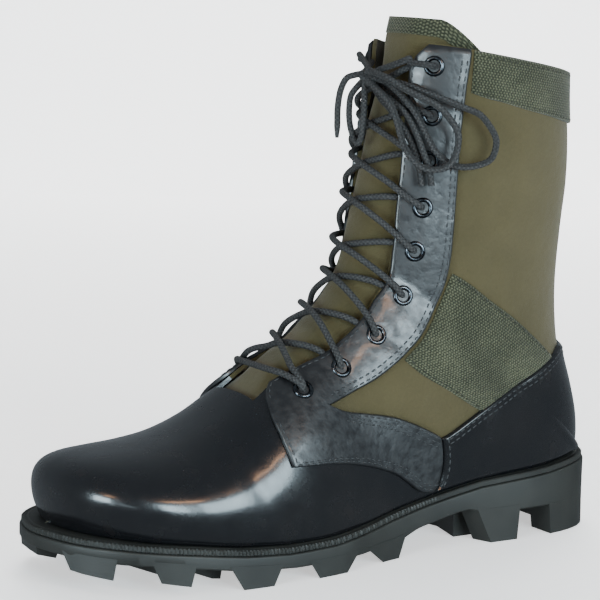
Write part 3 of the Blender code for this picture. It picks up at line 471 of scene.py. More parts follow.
# A row: crest x z, base x z, middle y, widest lateral and medial y, edge lateral and medial y, belly, rounds
def allSections():
    rows = []
    for number, (cx, cz, bx, mid, swell, belly, rounding) in enumerate(toeRows):
        lateral, medial = (mid, mid) if number == 0 else (sideY(bx, 1, 0, True), sideY(bx, -1, 0, True))
        rows.append((cx, cz, bx, baseHeight(bx), mid, lateral + swell, medial - swell, lateral, medial,
                     belly, rounding, rounding))
    for number, (cx, cz, bx, wideL, wideM, belly, rounding, backRound) in enumerate(heelRows):
        last = number == len(heelRows) - 1
        lateral, medial = (0, 0) if last else (sideY(bx, 1, 0, True), sideY(bx, -1, 0, True))
        rows.append((cx, cz, bx, baseHeight(bx), 0, wideL, wideM, lateral, medial,
                     belly, rounding, backRound))
    for cx, cz, bx, bz, wide, belly, rounding, backRound in shaftRows:
        rows.append((cx, cz, bx, bz, 0, wide, -wide, 0, 0, belly, rounding, backRound))
    return np.array(rows, float)


sections = allSections()
topRow = len(sections) - 1
closedRow = len(toeRows) + len(heelRows) - 1  # from here up the two sides meet in the back seam
sections = np.vstack([sections, 2 * sections[-1] - sections[-2]])  # one more row, for curves past the top


def sectionAt(s):
    s = np.asarray(s, float)
    first = np.clip(np.floor(s).astype(int), 0, topRow - 1)
    picks = [np.clip(first + step, 0, topRow + 1) for step in (-1, 0, 1, 2)]
    rows = catmull(*(sections[p] for p in picks), (s - first)[..., None])
    rows[..., 7:9] = np.where((s >= closedRow)[..., None], 0.0, rows[..., 7:9])
    return rows


# A place on the skin is a row s, from toe to top, and a turn t, from the crest at 0 to the base at 1 or -1
def skinPoint(s, t):
    s, t = np.broadcast_arrays(np.asarray(s, float), np.asarray(t, float))
    row = np.moveaxis(sectionAt(s), -1, 0)
    cx, cz, bx, bz, mid, wideL, wideM, edgeL, edgeM, belly, rounding, backRound = row
    wide, edge = np.where(t >= 0, wideL, wideM), np.where(t >= 0, edgeL, edgeM)
    turn = np.minimum(np.abs(t), 1.0) * math.pi
    upper = np.minimum(turn, math.pi / 2)
    lower = np.clip(turn - math.pi / 2, 0, math.pi / 2)
    front = turn <= math.pi / 2
    down = np.where(front, belly * (1 - np.maximum(np.cos(upper), 0) ** (2 / rounding)),
                    belly + (1 - belly) * np.sin(lower) ** (2 / backRound))
    y = np.where(front, mid + (wide - mid) * np.sin(upper) ** (2 / rounding),
                 edge + (wide - edge) * np.maximum(np.cos(lower), 0) ** (2 / backRound))
    return np.stack([cx + (bx - cx) * down, y, cz + (bz - cz) * down], axis=-1)


def throatTurn(s):
    rows, gaps = zip(*throat["gaps"])
    row = sectionAt(s)
    wide = np.maximum(row[..., 5], 1.0)
    share = np.minimum(np.interp(s, rows, gaps) / wide, throat["widest"])
    return np.arcsin(share ** (row[..., 10] / 2)) / math.pi


def skinNormal(s, t):
    s, t = np.broadcast_arrays(np.asarray(s, float), np.asarray(t, float))
    seam = 0.96  # past this turn the normal swings round to straight back
    side = np.where(t >= 0, 1.0, -1.0)
    held = side * np.minimum(np.abs(t), seam)
    low, high = np.maximum(s - 0.05, 0.0), np.minimum(s + 0.05, topRow + 1.0)
    normal = np.cross(skinPoint(high, held) - skinPoint(low, held),
                      skinPoint(s, held + 0.01) - skinPoint(s, held - 0.01))
    normal /= np.linalg.norm(normal, axis=-1)[..., None] + 1e-12
    closing = (np.abs(t) > seam) & (s >= closedRow)
    normal[..., 1] = np.where(closing, normal[..., 1] * (1 - np.abs(t)) / (1 - seam), normal[..., 1])
    normal /= np.linalg.norm(normal, axis=-1)[..., None] + 1e-12
    middle = (skinPoint(s, 0.5) + skinPoint(s, -0.5)) / 2
    flip = np.sum(normal * (skinPoint(s, held) - middle), axis=-1) < 0
    return np.where(flip[..., None], -normal, normal)


# Creases: start x z, end x z, width, depth (minus stands out), side
creases = [
    (228, 60, 212, 36, 5.0, 0.55, 1), (218, 66, 205, 44, 4.0, 0.40, 1), (226, 60, 210, 36, 5.0, 0.55, -1),
    (216, 66, 203, 44, 4.0, 0.45, -1), (152, 112, 118, 96, 4.5, 0.55, 1), (150, 112, 118, 96, 4.5, 0.55, -1),
    (92, 108, 62, 82, 1.6, 0.8, 1), (84, 120, 50, 95, 1.6, 0.7, 1), (96, 121, 56, 92, 3.2, 0.75, -1),
    (92, 152, 40, 138, 7.0, 0.9, 1), (88, 178, 34, 170, 9.0, 0.7, 1), (90, 150, 44, 132, 7.0, 0.9, -1),
    (84, 182, 32, 176, 9.0, 0.8, -1), (196, 64, 172, 66, 3.4, -0.5, 1), (192, 64, 170, 66, 3.4, -0.5, -1),
    (120, 80, 104, 62, 5.0, 0.5, 1), (126, 128, 116, 138, 4.0, 0.4, 1), (128, 128, 117, 138, 4.0, 0.4, -1),
]
creaseFade = {"ends": 0.02, "power": 0.6, "middleY": 4}


def creaseDepth(points):
    total = np.zeros(points.shape[:-1])
    for x0, z0, x1, z1, width, depth, side in creases:
        start, run = np.array([x0, z0]), np.array([x1 - x0, z1 - z0], float)
        offset = points[..., [0, 2]] - start
        share = np.clip(offset @ run / (run @ run), 0, 1)
        away = np.linalg.norm(offset - share[..., None] * run, axis=-1)
        fade = np.sin(np.clip(share, creaseFade["ends"], 1 - creaseFade["ends"]) * math.pi)
        onSide = points[..., 1] * side > creaseFade["middleY"]
        total += depth * fade ** creaseFade["power"] * np.exp(-(away / width) ** 2) * onSide
    return total


def skinAt(s, t, rise):
    points = skinPoint(s, t)
    lift = np.asarray(rise, float) - creaseDepth(points)
    return points + skinNormal(s, t) * lift[..., None]


halvings = 40  # rounds of the search for the row under a spot


def spotsOnSkin(spots, side):  # places of x z spots seen from one side
    spots = np.asarray(spots, float)
    low, high = np.full(len(spots), 1.0), np.full(len(spots), float(topRow))
    for _ in range(halvings):
        middle = (low + high) / 2
        row = sectionAt(middle)
        past = ((row[:, 2] - row[:, 0]) * (spots[:, 1] - row[:, 1])
                - (row[:, 3] - row[:, 1]) * (spots[:, 0] - row[:, 0])) > 0
        low, high = np.where(past, low, middle), np.where(past, middle, high)
    s = (low + high) / 2
    row = sectionAt(s)
    chord = row[:, 2:4] - row[:, 0:2]
    down = np.clip(np.sum((spots - row[:, 0:2]) * chord, axis=1) / np.sum(chord ** 2, axis=1), 0, 1)
    belly, rounding, backRound = row[:, 9], row[:, 10], row[:, 11]
    front = np.arccos(np.clip(1 - down / belly, 0, 1) ** (rounding / 2)) / math.pi
    back = 0.5 + np.arcsin(np.clip((down - belly) / (1 - belly), 0, 1) ** (backRound / 2)) / math.pi
    return np.stack([s, np.where(down < belly, front, back) * side], axis=1)


def seamPlace(z):
    rows = np.linspace(closedRow, topRow, 400)
    return np.array([np.interp(z, sectionAt(rows)[:, 3], rows), 1.0])


def spreadPlaces(places, count):
    steps = [np.linspace(a, b, 12, endpoint=False) for a, b in zip(places, places[1:])]
    fine = np.concatenate(steps + [places[-1:]])
    lengths = lengthAlong(skinPoint(fine[:, 0], fine[:, 1]))
    marks = np.linspace(0, lengths[-1], count)
    return np.stack([np.interp(marks, lengths, fine[:, 0]), np.interp(marks, lengths, fine[:, 1])], axis=1)


def edgePlaces(spots, count, side, end=None):
    places = spotsOnSkin(spreadLine(spots, 8 * len(spots)), side)
    if end is not None:
        places = np.vstack([places, end])
    return spreadPlaces(places, count)


def shellFaces(cells, half):  # an outer skin, an inner one half the vertices further on, and a rim
    faces, edges = [], set()
    for cell in cells:
        loop = [key for k, key in enumerate(cell) if key != cell[k - 1]]
        if len(loop) < 3:
            continue
        faces.append(loop)
        faces.append([key + half for key in reversed(loop)])
        edges.update((loop[k - 1], key) for k, key in enumerate(loop))
    for a, b in edges:
        if (b, a) not in edges:
            faces.append([b, a, a + half, b + half])
    return faces


# Upper: one fine shell, leather on the vamp and low sides, canvas on the quarters and shaft

upperMesh = {"rowStep": 0.2, "throatColumns": 7, "sideColumns": 46, "wall": 2.0, "vampX": 206}
leatherLine = [(0, 88), (60, 72), (106, 52), (150, 66), (196, 78), (206, 130)]  # leather lies below


def makeUpper():
    rows = np.concatenate([np.arange(0, topRow + 0.01, upperMesh["rowStep"]), [throat["row"]]])
    rows = np.unique(rows.round(4))
    inner, outer = upperMesh["throatColumns"], upperMesh["sideColumns"]
    shares = np.concatenate([np.arange(inner + 1) / inner, 1 + np.arange(1, outer + 1) / outer])
    edge = throatTurn(rows)[:, None]
    half = np.where(shares <= 1, edge * shares, edge + (1 - edge) * (shares - 1))
    turns = np.concatenate([-half[:, :0:-1], half], axis=1)
    s = np.repeat(rows[:, None], turns.shape[1], axis=1)
    skin = skinAt(s, turns, 0.0)
    lining = skin - skinNormal(s, turns) * upperMesh["wall"]
    grid = np.arange(s.size).reshape(s.shape)
    grid[0, :] = grid[0, 0]  # the toe's first row is one point
    seamed = rows >= closedRow
    grid[seamed, -1] = grid[seamed, 0]
    middle = turns.shape[1] // 2
    cells = []
    for i in range(len(rows) - 1):
        for j in range(turns.shape[1] - 1):
            inThroat = rows[i] >= throat["row"] and middle - inner <= j < middle + inner
            if not inThroat:
                cells.append([grid[i, j], grid[i + 1, j], grid[i + 1, j + 1], grid[i, j + 1]])
    faces = shellFaces(cells, s.size)
    verts = np.concatenate([skin.reshape(-1, 3), lining.reshape(-1, 3)])
    girth = lengthAlong(np.swapaxes(skin, 0, 1)).T
    girth = girth - girth[:, middle:middle + 1]
    rise = lengthAlong(skinPoint(rows, np.full(len(rows), 0.5)))
    cloth = np.stack([girth, np.repeat(rise[:, None], girth.shape[1], axis=1)], axis=-1).reshape(-1, 2)
    centers = np.array([verts[list(face)].mean(axis=0) for face in faces])
    isLeather = (centers[:, 2] < level(leatherLine, centers[:, 0])) | (centers[:, 0] > upperMesh["vampX"])
    inside = np.array([min(face) >= s.size for face in faces])
    kinds = np.where(inside, 2, np.where(isLeather, 0, 1))
    piece = addPiece("upper_shell", verts, faces, ["leather", "canvas", "lining"],
                     np.vstack([cloth, cloth]), kinds, 50)
    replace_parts(piece, "upper")


makeUpper()
print("upper ready")


# Overlays: a panel lies between two heights above the skin, with rounded edges

def closeSpaced(count, share):  # shares from 0 to 1, closer at both ends for a rounded edge
    edge = np.array([0.0, 0.12, 0.35, 0.65, 1.0]) * share
    inside = np.linspace(share, 1 - share, count)[1:-1]
    return np.concatenate([edge, inside, 1 - edge[::-1]])


def panelGrid(front, back, across, edgeShare):
    shares = closeSpaced(across, edgeShare)[None, :, None]
    return front[:, None, :] * (1 - shares) + back[:, None, :] * shares


def addPanel(name, places, low, high, materialName, softness, swap=False):
    s, t = places[..., 0], places[..., 1]
    flat = skinPoint(s, t)
    across, along = lengthAlong(np.swapaxes(flat, 0, 1)).T, lengthAlong(flat)
    gap = np.minimum(across, across[:, -1:] - across)
    gap = np.minimum(gap, np.minimum(along, along[-1:, :] - along))
    full = np.clip(gap / softness, 0, 1)
    rise = low + (high - low) * np.sqrt(1 - (1 - full) ** 2)
    top = skinAt(s, t, rise)
    under = skinAt(s, t, np.full(s.shape, low))
    n, m = s.shape
    grid = np.arange(n * m).reshape(n, m)
    below = grid + n * m
    below[[0, -1], :] = grid[[0, -1], :]
    below[:, [0, -1]] = grid[:, [0, -1]]
    faces = []
    for i in range(n - 1):
        for j in range(m - 1):
            faces.append([grid[i, j], grid[i + 1, j], grid[i + 1, j + 1], grid[i, j + 1]])
            faces.append([below[i, j + 1], below[i + 1, j + 1], below[i + 1, j], below[i, j]])
    verts = np.concatenate([top.reshape(-1, 3), under.reshape(-1, 3)])
    pair = (across, along) if swap else (along, across)
    cloth = np.stack(pair, axis=-1).reshape(-1, 2)
    piece = addPiece(name, verts, faces, [materialName], np.vstack([cloth, cloth]), sharp=60)
    return faceOutward(piece)


# A stitch's profile gives shares of its length and of its girth
stitchLook = {"length": 2.7, "gap": 1.0, "width": 0.42, "height": 0.30, "start": 0.6, "sides": 6,
              "profile": [(-0.5, 0.0), (-0.36, 0.8), (0.0, 1.0), (0.36, 0.8), (0.5, 0.0)]}


def addStitches(name, lines, rise, materialName="thread"):
    look, ring, profile = stitchLook, stitchLook["sides"], stitchLook["profile"]
    verts, faces = [], []
    for places in lines:
        points = skinAt(places[:, 0], places[:, 1], np.full(len(places), rise))
        lengths = lengthAlong(points)
        for start in np.arange(look["start"], lengths[-1] - look["length"], look["length"] + look["gap"]):
            marks = (start, start + look["length"])
            a, b = np.stack([np.interp(marks, lengths, points[:, axis]) for axis in range(3)], axis=1)
            middle = (start + start + look["length"]) / 2
            s, t = (np.interp(middle, lengths, places[:, axis]) for axis in range(2))
            up = skinNormal(s, t)
            along = b - a
            along /= np.linalg.norm(along) + 1e-9
            side = np.cross(up, along)
            first = len(verts)
            for share, girth in profile:
                center = (a + b) / 2 + along * share * look["length"]
                for k in range(ring):
                    angle = 2 * math.pi * k / ring
                    verts.append(center + side * math.cos(angle) * girth * look["width"]
                                 + up * math.sin(angle) * girth * look["height"])
            for row in range(len(profile) - 1):
                for k in range(ring):
                    one, two = first + row * ring, first + (row + 1) * ring
                    ahead = (k + 1) % ring
                    faces.append([one + k, one + ahead, two + ahead, two + k])
    return addPiece(name, verts, faces, [materialName])


def rowFromEdge(places, away, fromBack=False):  # the line a set distance from a panel's long edge
    points = skinPoint(places[..., 0], places[..., 1])
    across = lengthAlong(np.swapaxes(points, 0, 1)).T
    line = []
    for k in range(len(places)):
        mark = across[k, -1] - away if fromBack else away
        if 0 < mark < across[k, -1]:
            line.append([np.interp(mark, across[k], places[k, :, axis]) for axis in range(2)])
    return np.array(line)


eyestay = {
    "tabFront": [(196.6, 86.2), (201.2, 80.8), (204.2, 72.9), (203.9, 65.6), (202.8, 59.5), (201.2, 52.7)],
    "stripLower": [(201.2, 52.7), (191.7, 52.5), (178.9, 51.9), (164.2, 49.5), (148.6, 45.4), (136.7, 41),
                   (128.5, 35.6), (121, 30.5), (112.4, 29.3)],
    "back": [(98.2, 246.6), (98.4, 239), (99.6, 228.7), (100.6, 216.5), (101.6, 205.5), (102.2, 194.6),
             (102.5, 183.5), (102.8, 172.5), (103.3, 157.4), (103.9, 144.4), (105.7, 132.7), (108.8, 123.5),
             (113.8, 113.9), (121.6, 104.4), (130, 97.4), (139.2, 91.2), (146, 87.2), (154.4, 83.6),
             (164.3, 80), (175, 77)],
    "stripUpper": [(175, 77), (165.5, 73.8), (152.4, 71.7), (138.1, 69.1), (127, 65.2), (117.2, 60.7),
                   (110.4, 57.0)],
    "top": 31.94, "foot": 12.0, "low": 0.5, "high": 2.3, "throatLines": 120, "tabLines": 18, "stripLines": 70,
    "frontRow": 2.2, "backRows": (1.9, 4.4), "lowerRow": 4.6, "upperRows": (1.9, 4.2, 6.5),
}


def makeEyestay(name, side):
    look = eyestay
    s = np.linspace(look["top"], look["foot"], look["throatLines"] + 1)
    front = np.stack([s, side * (throatTurn(s) + 0.004)], axis=1)
    front = np.vstack([front, edgePlaces(look["tabFront"], look["tabLines"], side),
                       edgePlaces(look["stripLower"], look["stripLines"], side)])
    back = edgePlaces(look["back"], look["throatLines"] + 1, side)
    back = np.vstack([back, back[-1:],
                      edgePlaces(look["stripUpper"], look["tabLines"] - 1 + look["stripLines"], side)])
    places = panelGrid(front, back, 15, 0.045)
    piece = addPanel("facing_" + name, places, look["low"], look["high"], "grained", 1.1)
    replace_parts(piece, "eyestay_" + name)
    facing = look["throatLines"] - 2
    strip = look["throatLines"] + look["tabLines"]
    lines = [rowFromEdge(places[3:facing + 8], look["frontRow"])]
    lines += [rowFromEdge(places[3:facing], away, True) for away in look["backRows"]]
    lines += [rowFromEdge(places[facing + 12:], look["frontRow"])]
    lines += [rowFromEdge(places[strip:], look["lowerRow"])]
    lines += [rowFromEdge(places[strip:], away, True) for away in look["upperRows"]]
    addStitches("stitching_facing_" + name, [line for line in lines if len(line) > 2], look["high"] + 0.02)


for sideNumber, sideName in ((1, "lateral"), (-1, "medial")):
    makeEyestay(sideName, sideNumber)
print("eyestays ready")

counter = {
    "top": [(109.6, 56.2), (104.3, 58.3), (94.7, 63.4), (84.9, 68.6), (70.5, 75.2), (57.4, 80.8),
            (46.6, 86.1), (37.9, 90.6), (29.9, 94.4)],
    "backZ": 97.0, "feet": [111.6, 84, 58, 38, 26, 18, 13.5], "lift": 2.6, "low": 0.5, "high": 2.5,
    "lines": 90, "rows": (1.9, 4.2),
}


def mirrored(places):
    other = places[-2::-1].copy()
    other[..., 1] *= -1
    return np.concatenate([places, other])


def makeCounter():
    look = counter
    top = edgePlaces(look["top"], look["lines"], 1, seamPlace(look["backZ"]))
    feet = [(x, baseHeight(x) + look["lift"]) for x in look["feet"]]
    heel = heelRows[-1][2]
    low = edgePlaces(feet, look["lines"], 1, seamPlace(baseHeight(heel) + look["lift"]))
    places = mirrored(panelGrid(top, low, 18, 0.03))
    piece = addPanel("heel_leather", places, look["low"], look["high"], "leather", 1.1)
    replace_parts(piece, "heel_counter")
    ends = [places[2, 2:-2], places[-3, 2:-2]]
    rows = [rowFromEdge(places[2:-2], away) for away in look["rows"]]
    addStitches("stitching_heel", rows + ends, look["high"] + 0.02)


makeCounter()

webbing = {
    "ankleUpper": [(102.4, 136), (92.6, 130.2), (80.5, 121.6), (66.5, 112.6), (50.7, 100.8), (36.8, 89.8)],
    "ankleLower": [(130, 95.4), (121, 88), (108.6, 80.9), (98, 74.4), (85.3, 66.9)],
    "ankleFront": [(102.4, 136), (104.4, 131.6), (107.6, 122.4), (112.6, 112.6), (120.4, 103.2), (130, 95.4)],
    "cuffFront": (96.4, 246), "cuffBackZ": 206.0,
    "cuffLower": [(97.6, 223.4), (90.5, 221), (79.3, 218.4), (66.7, 215.2), (52.6, 212.2), (36, 208.3)],
    "low": 0.35, "high": 1.7, "rowAway": 1.6,
}


def makeAnkleBand(name, side):
    look, count, across = webbing, 60, 34
    above, below = spreadLine(look["ankleUpper"], count), spreadLine(look["ankleLower"], count)
    front = spreadLine(look["ankleFront"], across)
    share = np.linspace(0, 1, across)[None, :, None]
    straight = above[:, None, :] * (1 - share) + below[:, None, :] * share
    fade = (1 - np.arange(count) / (count - 1))[:, None, None]
    spots = straight + (front[None] - straight[:1]) * fade
    places = spotsOnSkin(spots.reshape(-1, 2), side).reshape(count, across, 2)
    piece = addPanel("ankle_band_" + name, places, look["low"], look["high"], "webbing", 0.8,
                     swap=True)
    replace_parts(piece, "ankle_webbing_" + name)
    rows = [rowFromEdge(places[2:-2], look["rowAway"], fromBack) for fromBack in (False, True)]
    addStitches("stitching_ankle_" + name, rows, look["high"] - 0.05, "webbing")


for sideNumber, sideName in ((1, "lateral"), (-1, "medial")):
    makeAnkleBand(sideName, sideNumber)


def makeCuff():
    look, count = webbing, 90
    low = edgePlaces(look["cuffLower"], count, 1, seamPlace(look["cuffBackZ"]))
    nearTop = topRow - 0.02
    front = spotsOnSkin([look["cuffFront"]], 1)[0][1]
    top = spreadPlaces(np.array([(nearTop, front), (nearTop, 0.5), (nearTop, 0.75), (nearTop, 1.0)]), count)
    places = mirrored(panelGrid(top, low, 22, 0.03))
    piece = addPanel("cuff_band", places, look["low"], look["high"], "webbing", 0.8, swap=True)
    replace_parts(piece, "cuff_webbing")
    rows = [rowFromEdge(places[2:-2], look["rowAway"], True), rowFromEdge(places[2:-2], 2.0)]
    addStitches("stitching_cuff", rows, look["high"] - 0.05, "webbing")


makeCuff()
print("bands ready")


# Tongue: canvas, sunk under the throat's edges and proud between them, with a webbing band on top

tongue = {"lowRow": 10.2, "highRow": topRow + 0.86, "rows": 150, "columns": 30, "sunk": 3.3, "bulge": 2.3,
          "thickness": 1.8, "cornerDrop": 3.375, "cornerFrom": 0.45, "turn": 0.29, "turnMore": 0.17,
          "bendBack": 1.2, "bendRows": 3.0, "bandFrom": 0.972, "bandTo": 1.001, "bandRise": 0.5}


def tonguePlaces(rows):
    look, columns = tongue, tongue["columns"]
    signed = np.arange(-columns, columns + 1) / columns
    share = np.abs(signed)[None, :]
    top = look["highRow"] - look["cornerDrop"] * np.maximum(share - look["cornerFrom"], 0) ** 1.5
    s = look["lowRow"] + (top - look["lowRow"]) * rows[:, None]
    t = share * (look["turn"] + look["turnMore"] * np.clip((s - 14) / 12, 0, 1))
    edge = throatTurn(np.minimum(s, topRow))
    lift = np.clip((edge * 0.92 - t) / (edge * 0.55), 0, 1)
    lift = lift * lift * (3 - 2 * lift) * np.clip((s - throat["row"] - 0.1) / 1.2, 0, 1)
    rise = -look["sunk"] + look["bulge"] * lift
    rise = rise - look["bendBack"] * np.maximum(s - topRow + look["bendRows"], 0)
    return s, t * np.sign(signed)[None, :], rise


def addSheet(name, rows, riseMore, thickness, material):
    s, t, rise = tonguePlaces(rows)
    n, m = s.shape
    points, normals = skinPoint(s, t), skinNormal(s, t)
    outer = points + normals * (rise + riseMore)[..., None]
    inner = points + normals * (rise + riseMore - thickness)[..., None]
    grid = np.arange(n * m).reshape(n, m)
    cells = [[grid[i, j], grid[i + 1, j], grid[i + 1, j + 1], grid[i, j + 1]]
             for i in range(n - 1) for j in range(m - 1)]
    faces = shellFaces(cells, n * m)
    verts = np.concatenate([outer.reshape(-1, 3), inner.reshape(-1, 3)])
    up = lengthAlong(outer)
    cloth = np.stack([outer[..., 1], up], axis=-1).reshape(-1, 2)
    return addPiece(name, verts, faces, [material], np.vstack([cloth, cloth]), sharp=60)


def makeTongue():
    look = tongue
    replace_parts(addSheet("tongue_canvas", np.linspace(0, 1, look["rows"]), 0.0, look["thickness"], "canvas"),
                "tongue")
    bandRows = np.linspace(look["bandFrom"], look["bandTo"], 10)
    addSheet("tongue_band", bandRows, look["bandRise"], look["thickness"] + 1.0, "webbing")


makeTongue()
print("tongue ready")


# Sole: slab, welt and tread blocks

sole = {
    "roof": [(0, 15), (80, 15), (90, 18), (96, 17.5), (122, 12.5), (134, 8), (160, 6.6), (200, 6.6),
             (228, 8.4), (246, 11), (268, 13.4), (290, 14.6), (308, 16)],
    "floor": [(0, 0), (229, 0), (240, 1.5), (255, 4), (268, 6.2), (286, 7), (298, 9), (308, 12.5)],
    "stations": 240, "edge": 1.0, "blockEdge": 1.3, "rootLift": 2.5, "weltStations": 900, "weltInset": 0.9,
    "rib": 1.9, "ribDepth": 0.34, "ribFrom": 105, "ribFade": 25,
    "weltSteps": [(0.5, 0.0), (0.0, 0.5), (0.0, 2.5), (0.5, 3.0), (1.6, 3.0), (2.0, 2.75), (2.6, 2.75),
                  (3.2, 3.1)],  # further inset and height
}
# ground front and back, root front and back, reach, slant
sideBlocks = [(300, 286.5, 302, 285, 10, -2), (268, 255, 272, 252.5, 13, -4),
              (229.5, 213.5, 237, 208.6, 14, -5), (188, 171, 194, 163, 14, -5), (146, 135, 158, 130, 13, -2)]
# medial toe block, which reaches round the tip: x, and y where it isn't on the outline
tipRoot = [(306.6, -4), (305, -17.5), (300.5, None), (294, None), (285, None), (286.5, -36.6),
           (292.5, -23.5), (293, -4)]
tipGround = [(304.5, -5.5), (303.2, -17), (300.3, -31.5), (294, None), (286.5, None), (287.5, -37.4),
             (294, -25), (295, -5.5)]
# tips' x, how far the middle leads, width
chevrons = [(258, 10, 11), (232, 11, 12), (203, 11, 12), (175, 11, 12), (148, 10, 11)]
proudRoot, proudGround = -0.1, -0.5  # insets of the side blocks from the outline
blockTaper = 1.5


def stackedSolid(name, rings, count, ribbed=()):  # rings are the outline's inset and height
    length = bootFrame["length"]
    share = (1 - np.cos(np.linspace(0, math.pi, count))) / 2
    verts, faces = [], []
    for number, (inset, height) in enumerate(rings):
        x = inset + 0.02 + (length - 2 * inset - 0.04) * share
        for side in (1, -1):
            y = sideY(x, side, inset)
            if number in ribbed:
                along = lengthAlong(np.stack([x, y], axis=1))
                fade = np.clip((x - sole["ribFrom"]) / sole["ribFade"], 0, 1)
                y = y + side * sole["ribDepth"] * np.sin(2 * math.pi * along / sole["rib"]) * fade
            for px, py in zip(x, y):
                verts.append((px, py, float(height(px))))
    loop = 2 * count

    def at(ring, k):
        k %= loop
        return ring * loop + (k if k < count else loop + count - 1 - k)

    for ring in range(len(rings) - 1):
        for k in range(loop):
            faces.append([at(ring, k), at(ring, k + 1), at(ring + 1, k + 1), at(ring + 1, k)])
    for ring, turned in ((0, False), (len(rings) - 1, True)):
        for k in range(count - 1):
            quad = [ring * loop + step for step in (k, k + 1, count + k + 1, count + k)]
            faces.append(quad[::-1] if turned else quad)
    return faceOutward(addPiece(name, verts, faces, ["rubber"], sharp=40), 1e-6)


def blockOutlines():
    pairs = [[[(x, float(sideY(x, -1, proud)) if y is None else y) for x, y in outline]
              for outline, proud in ((tipRoot, proudRoot), (tipGround, proudGround))]]
    for groundFront, groundBack, rootFront, rootBack, reach, slant in sideBlocks:
        for side in (1, -1) if groundFront < 300 else (1,):
            outlines = []
            for front, back, proud, deep in ((rootFront, rootBack, proudRoot, reach),
                                             (groundFront, groundBack, proudGround, reach - blockTaper)):
                edge = [(x, float(sideY(x, side, proud))) for x in np.linspace(front, back, 5)]
                inner = [(x + slant, float(sideY(x, side)) - side * deep) for x in (back + 2, front - 2)]
                outlines.append(edge + inner)
            pairs.append(outlines)
    for tip, lead, width in chevrons:
        outlines = []
        for shrink in (0.0, blockTaper):
            half = width / 2 - shrink
            tips = [float(sideY(tip, side)) - side * (19.0 + shrink) for side in (1, -1)]
            middleX, middleY = tip + lead, sum(tips) / 2
            front = [(tip + half * 0.5, tips[1]), (middleX + half, middleY), (tip + half * 0.5, tips[0])]
            back = [(x - (half if y != middleY else 2 * half), y) for x, y in reversed(front)]
            outlines.append(front + back)
        pairs.append(outlines)
    return pairs + heelOutlines()


def heelOutlines():  # the rim round the back, a block on each side and one in the middle
    pairs, outlines = [], []
    rimX = [39, 31, 24, 17, 11, 7, 4, 1.6]
    rim = [(1, x) for x in rimX] + [(-1, x) for x in reversed(rimX)]
    for proud, deep, more in ((-0.1, 16.0, 1.5), (-0.4, 14.5, 0.0)):
        outer = [(x + (more if x > 30 else 0.0), float(sideY(x, side, proud))) for side, x in rim]
        inner = [(39 + more, -37 + deep), (24 + more, -11), (24 + more, 11), (39 + more, 37 - deep)]
        outlines.append(outer + inner)
    pairs.append(outlines)
    for side in (1, -1):
        outlines = []
        for front, back, proud, inner in ((91.5, 59.5, -0.1, 27), (82, 61, -0.4, 28.5)):
            edge = [(x, float(sideY(x, side, proud))) for x in np.linspace(front - 5, back, 5)]
            outlines.append(edge + [(back, side * inner), (front - 1, side * inner)])
        pairs.append(outlines)
    outlines = []
    for shrink in (0.0, blockTaper):
        wide = 22.5 - shrink
        outlines.append([(89 - shrink, wide), (84 - shrink, 0.0), (89 - shrink, -wide), (72 + shrink, -wide),
                         (62 + shrink, 0.0), (72 + shrink, wide)])
    return pairs + [outlines]


def addBlock(joined, root, ground):
    turned = sum(a[0] * b[1] - b[0] * a[1] for a, b in zip(root, root[1:] + root[:1]))
    if turned < 0:
        root, ground = root[::-1], ground[::-1]
    solid = bmesh.new()
    upper = [solid.verts.new(Vector(place((x, y, level(sole["roof"], x) + sole["rootLift"]))))
             for x, y in root]
    lower = [solid.verts.new(Vector(place((x, y, level(sole["floor"], x))))) for x, y in ground]
    count = len(upper)
    for k in range(count):
        ahead = (k + 1) % count
        solid.faces.new([lower[k], lower[ahead], upper[ahead], upper[k]])
    solid.faces.new(upper)
    solid.faces.new(list(reversed(lower)))
    edges = [edge for edge in solid.edges if edge.calc_face_angle(0) > math.radians(20)]
    bmesh.ops.bevel(solid, geom=edges, offset=sole["blockEdge"] / 1000, segments=3, affect="EDGES",
                    profile=0.5, clamp_overlap=True)
    bmesh.ops.recalc_face_normals(solid, faces=solid.faces)
    part = bpy.data.meshes.new("block")
    solid.to_mesh(part)
    solid.free()
    joined.from_mesh(part)
    bpy.data.meshes.remove(part)


def makeBlocks():
    solid = bmesh.new()
    for root, ground in blockOutlines():
        addBlock(solid, root, ground)
    mesh = bpy.data.meshes.new("tread_blocks")
    solid.to_mesh(mesh)
    solid.free()
    mesh.materials.append(materials["rubber"])
    mesh.shade_smooth()
    mesh.set_sharp_from_angle(angle=math.radians(35))
    return addToScene("tread_blocks", mesh)


def makeSole():
    edge, top = sole["edge"], wallTop
    rings = [(0.6, lambda x: level(sole["roof"], x)), (0.0, lambda x: level(sole["roof"], x) + 0.7)]
    rings += [(edge * (1 - math.cos(a)), lambda x, a=a: top(x) - edge * (1 - math.sin(a)))
              for a in np.linspace(0, math.pi / 2, 4)]
    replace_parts(stackedSolid("sole_slab", rings, sole["stations"]), "outsole")
    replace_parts(makeBlocks(), "outsole")
    lift = lastShape["fitGap"] * 0.2
    rings = [(sole["weltInset"] + inset, lambda x, h=h: top(x) + lift + h) for inset, h in sole["weltSteps"]]
    strip = stackedSolid("welt_strip", rings, sole["weltStations"], ribbed=(0, 1, 2, 3))
    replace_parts(strip, "welt")
    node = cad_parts["insole"]
    node.data.materials.clear()
    node.data.materials.append(materials["board"])


makeSole()
print("sole ready")


# Eyelets: rolled rings with a dark bore

eyelets = {
    "spots": [(113.2, 235.6), (114.2, 212), (115.4, 190.6), (118, 168), (121, 147), (127, 125.2),
              (143, 107.2), (163, 92.6), (186, 84)],  # x z, from the top down
    "seat": 2.2, "sides": 40,
    "profile": [(2.75, -1.0), (2.8, 0.2), (3.0, 0.75), (3.5, 1.15), (4.1, 1.2), (4.7, 0.85), (5.0, 0.3),
                (5.05, -0.1)],
}


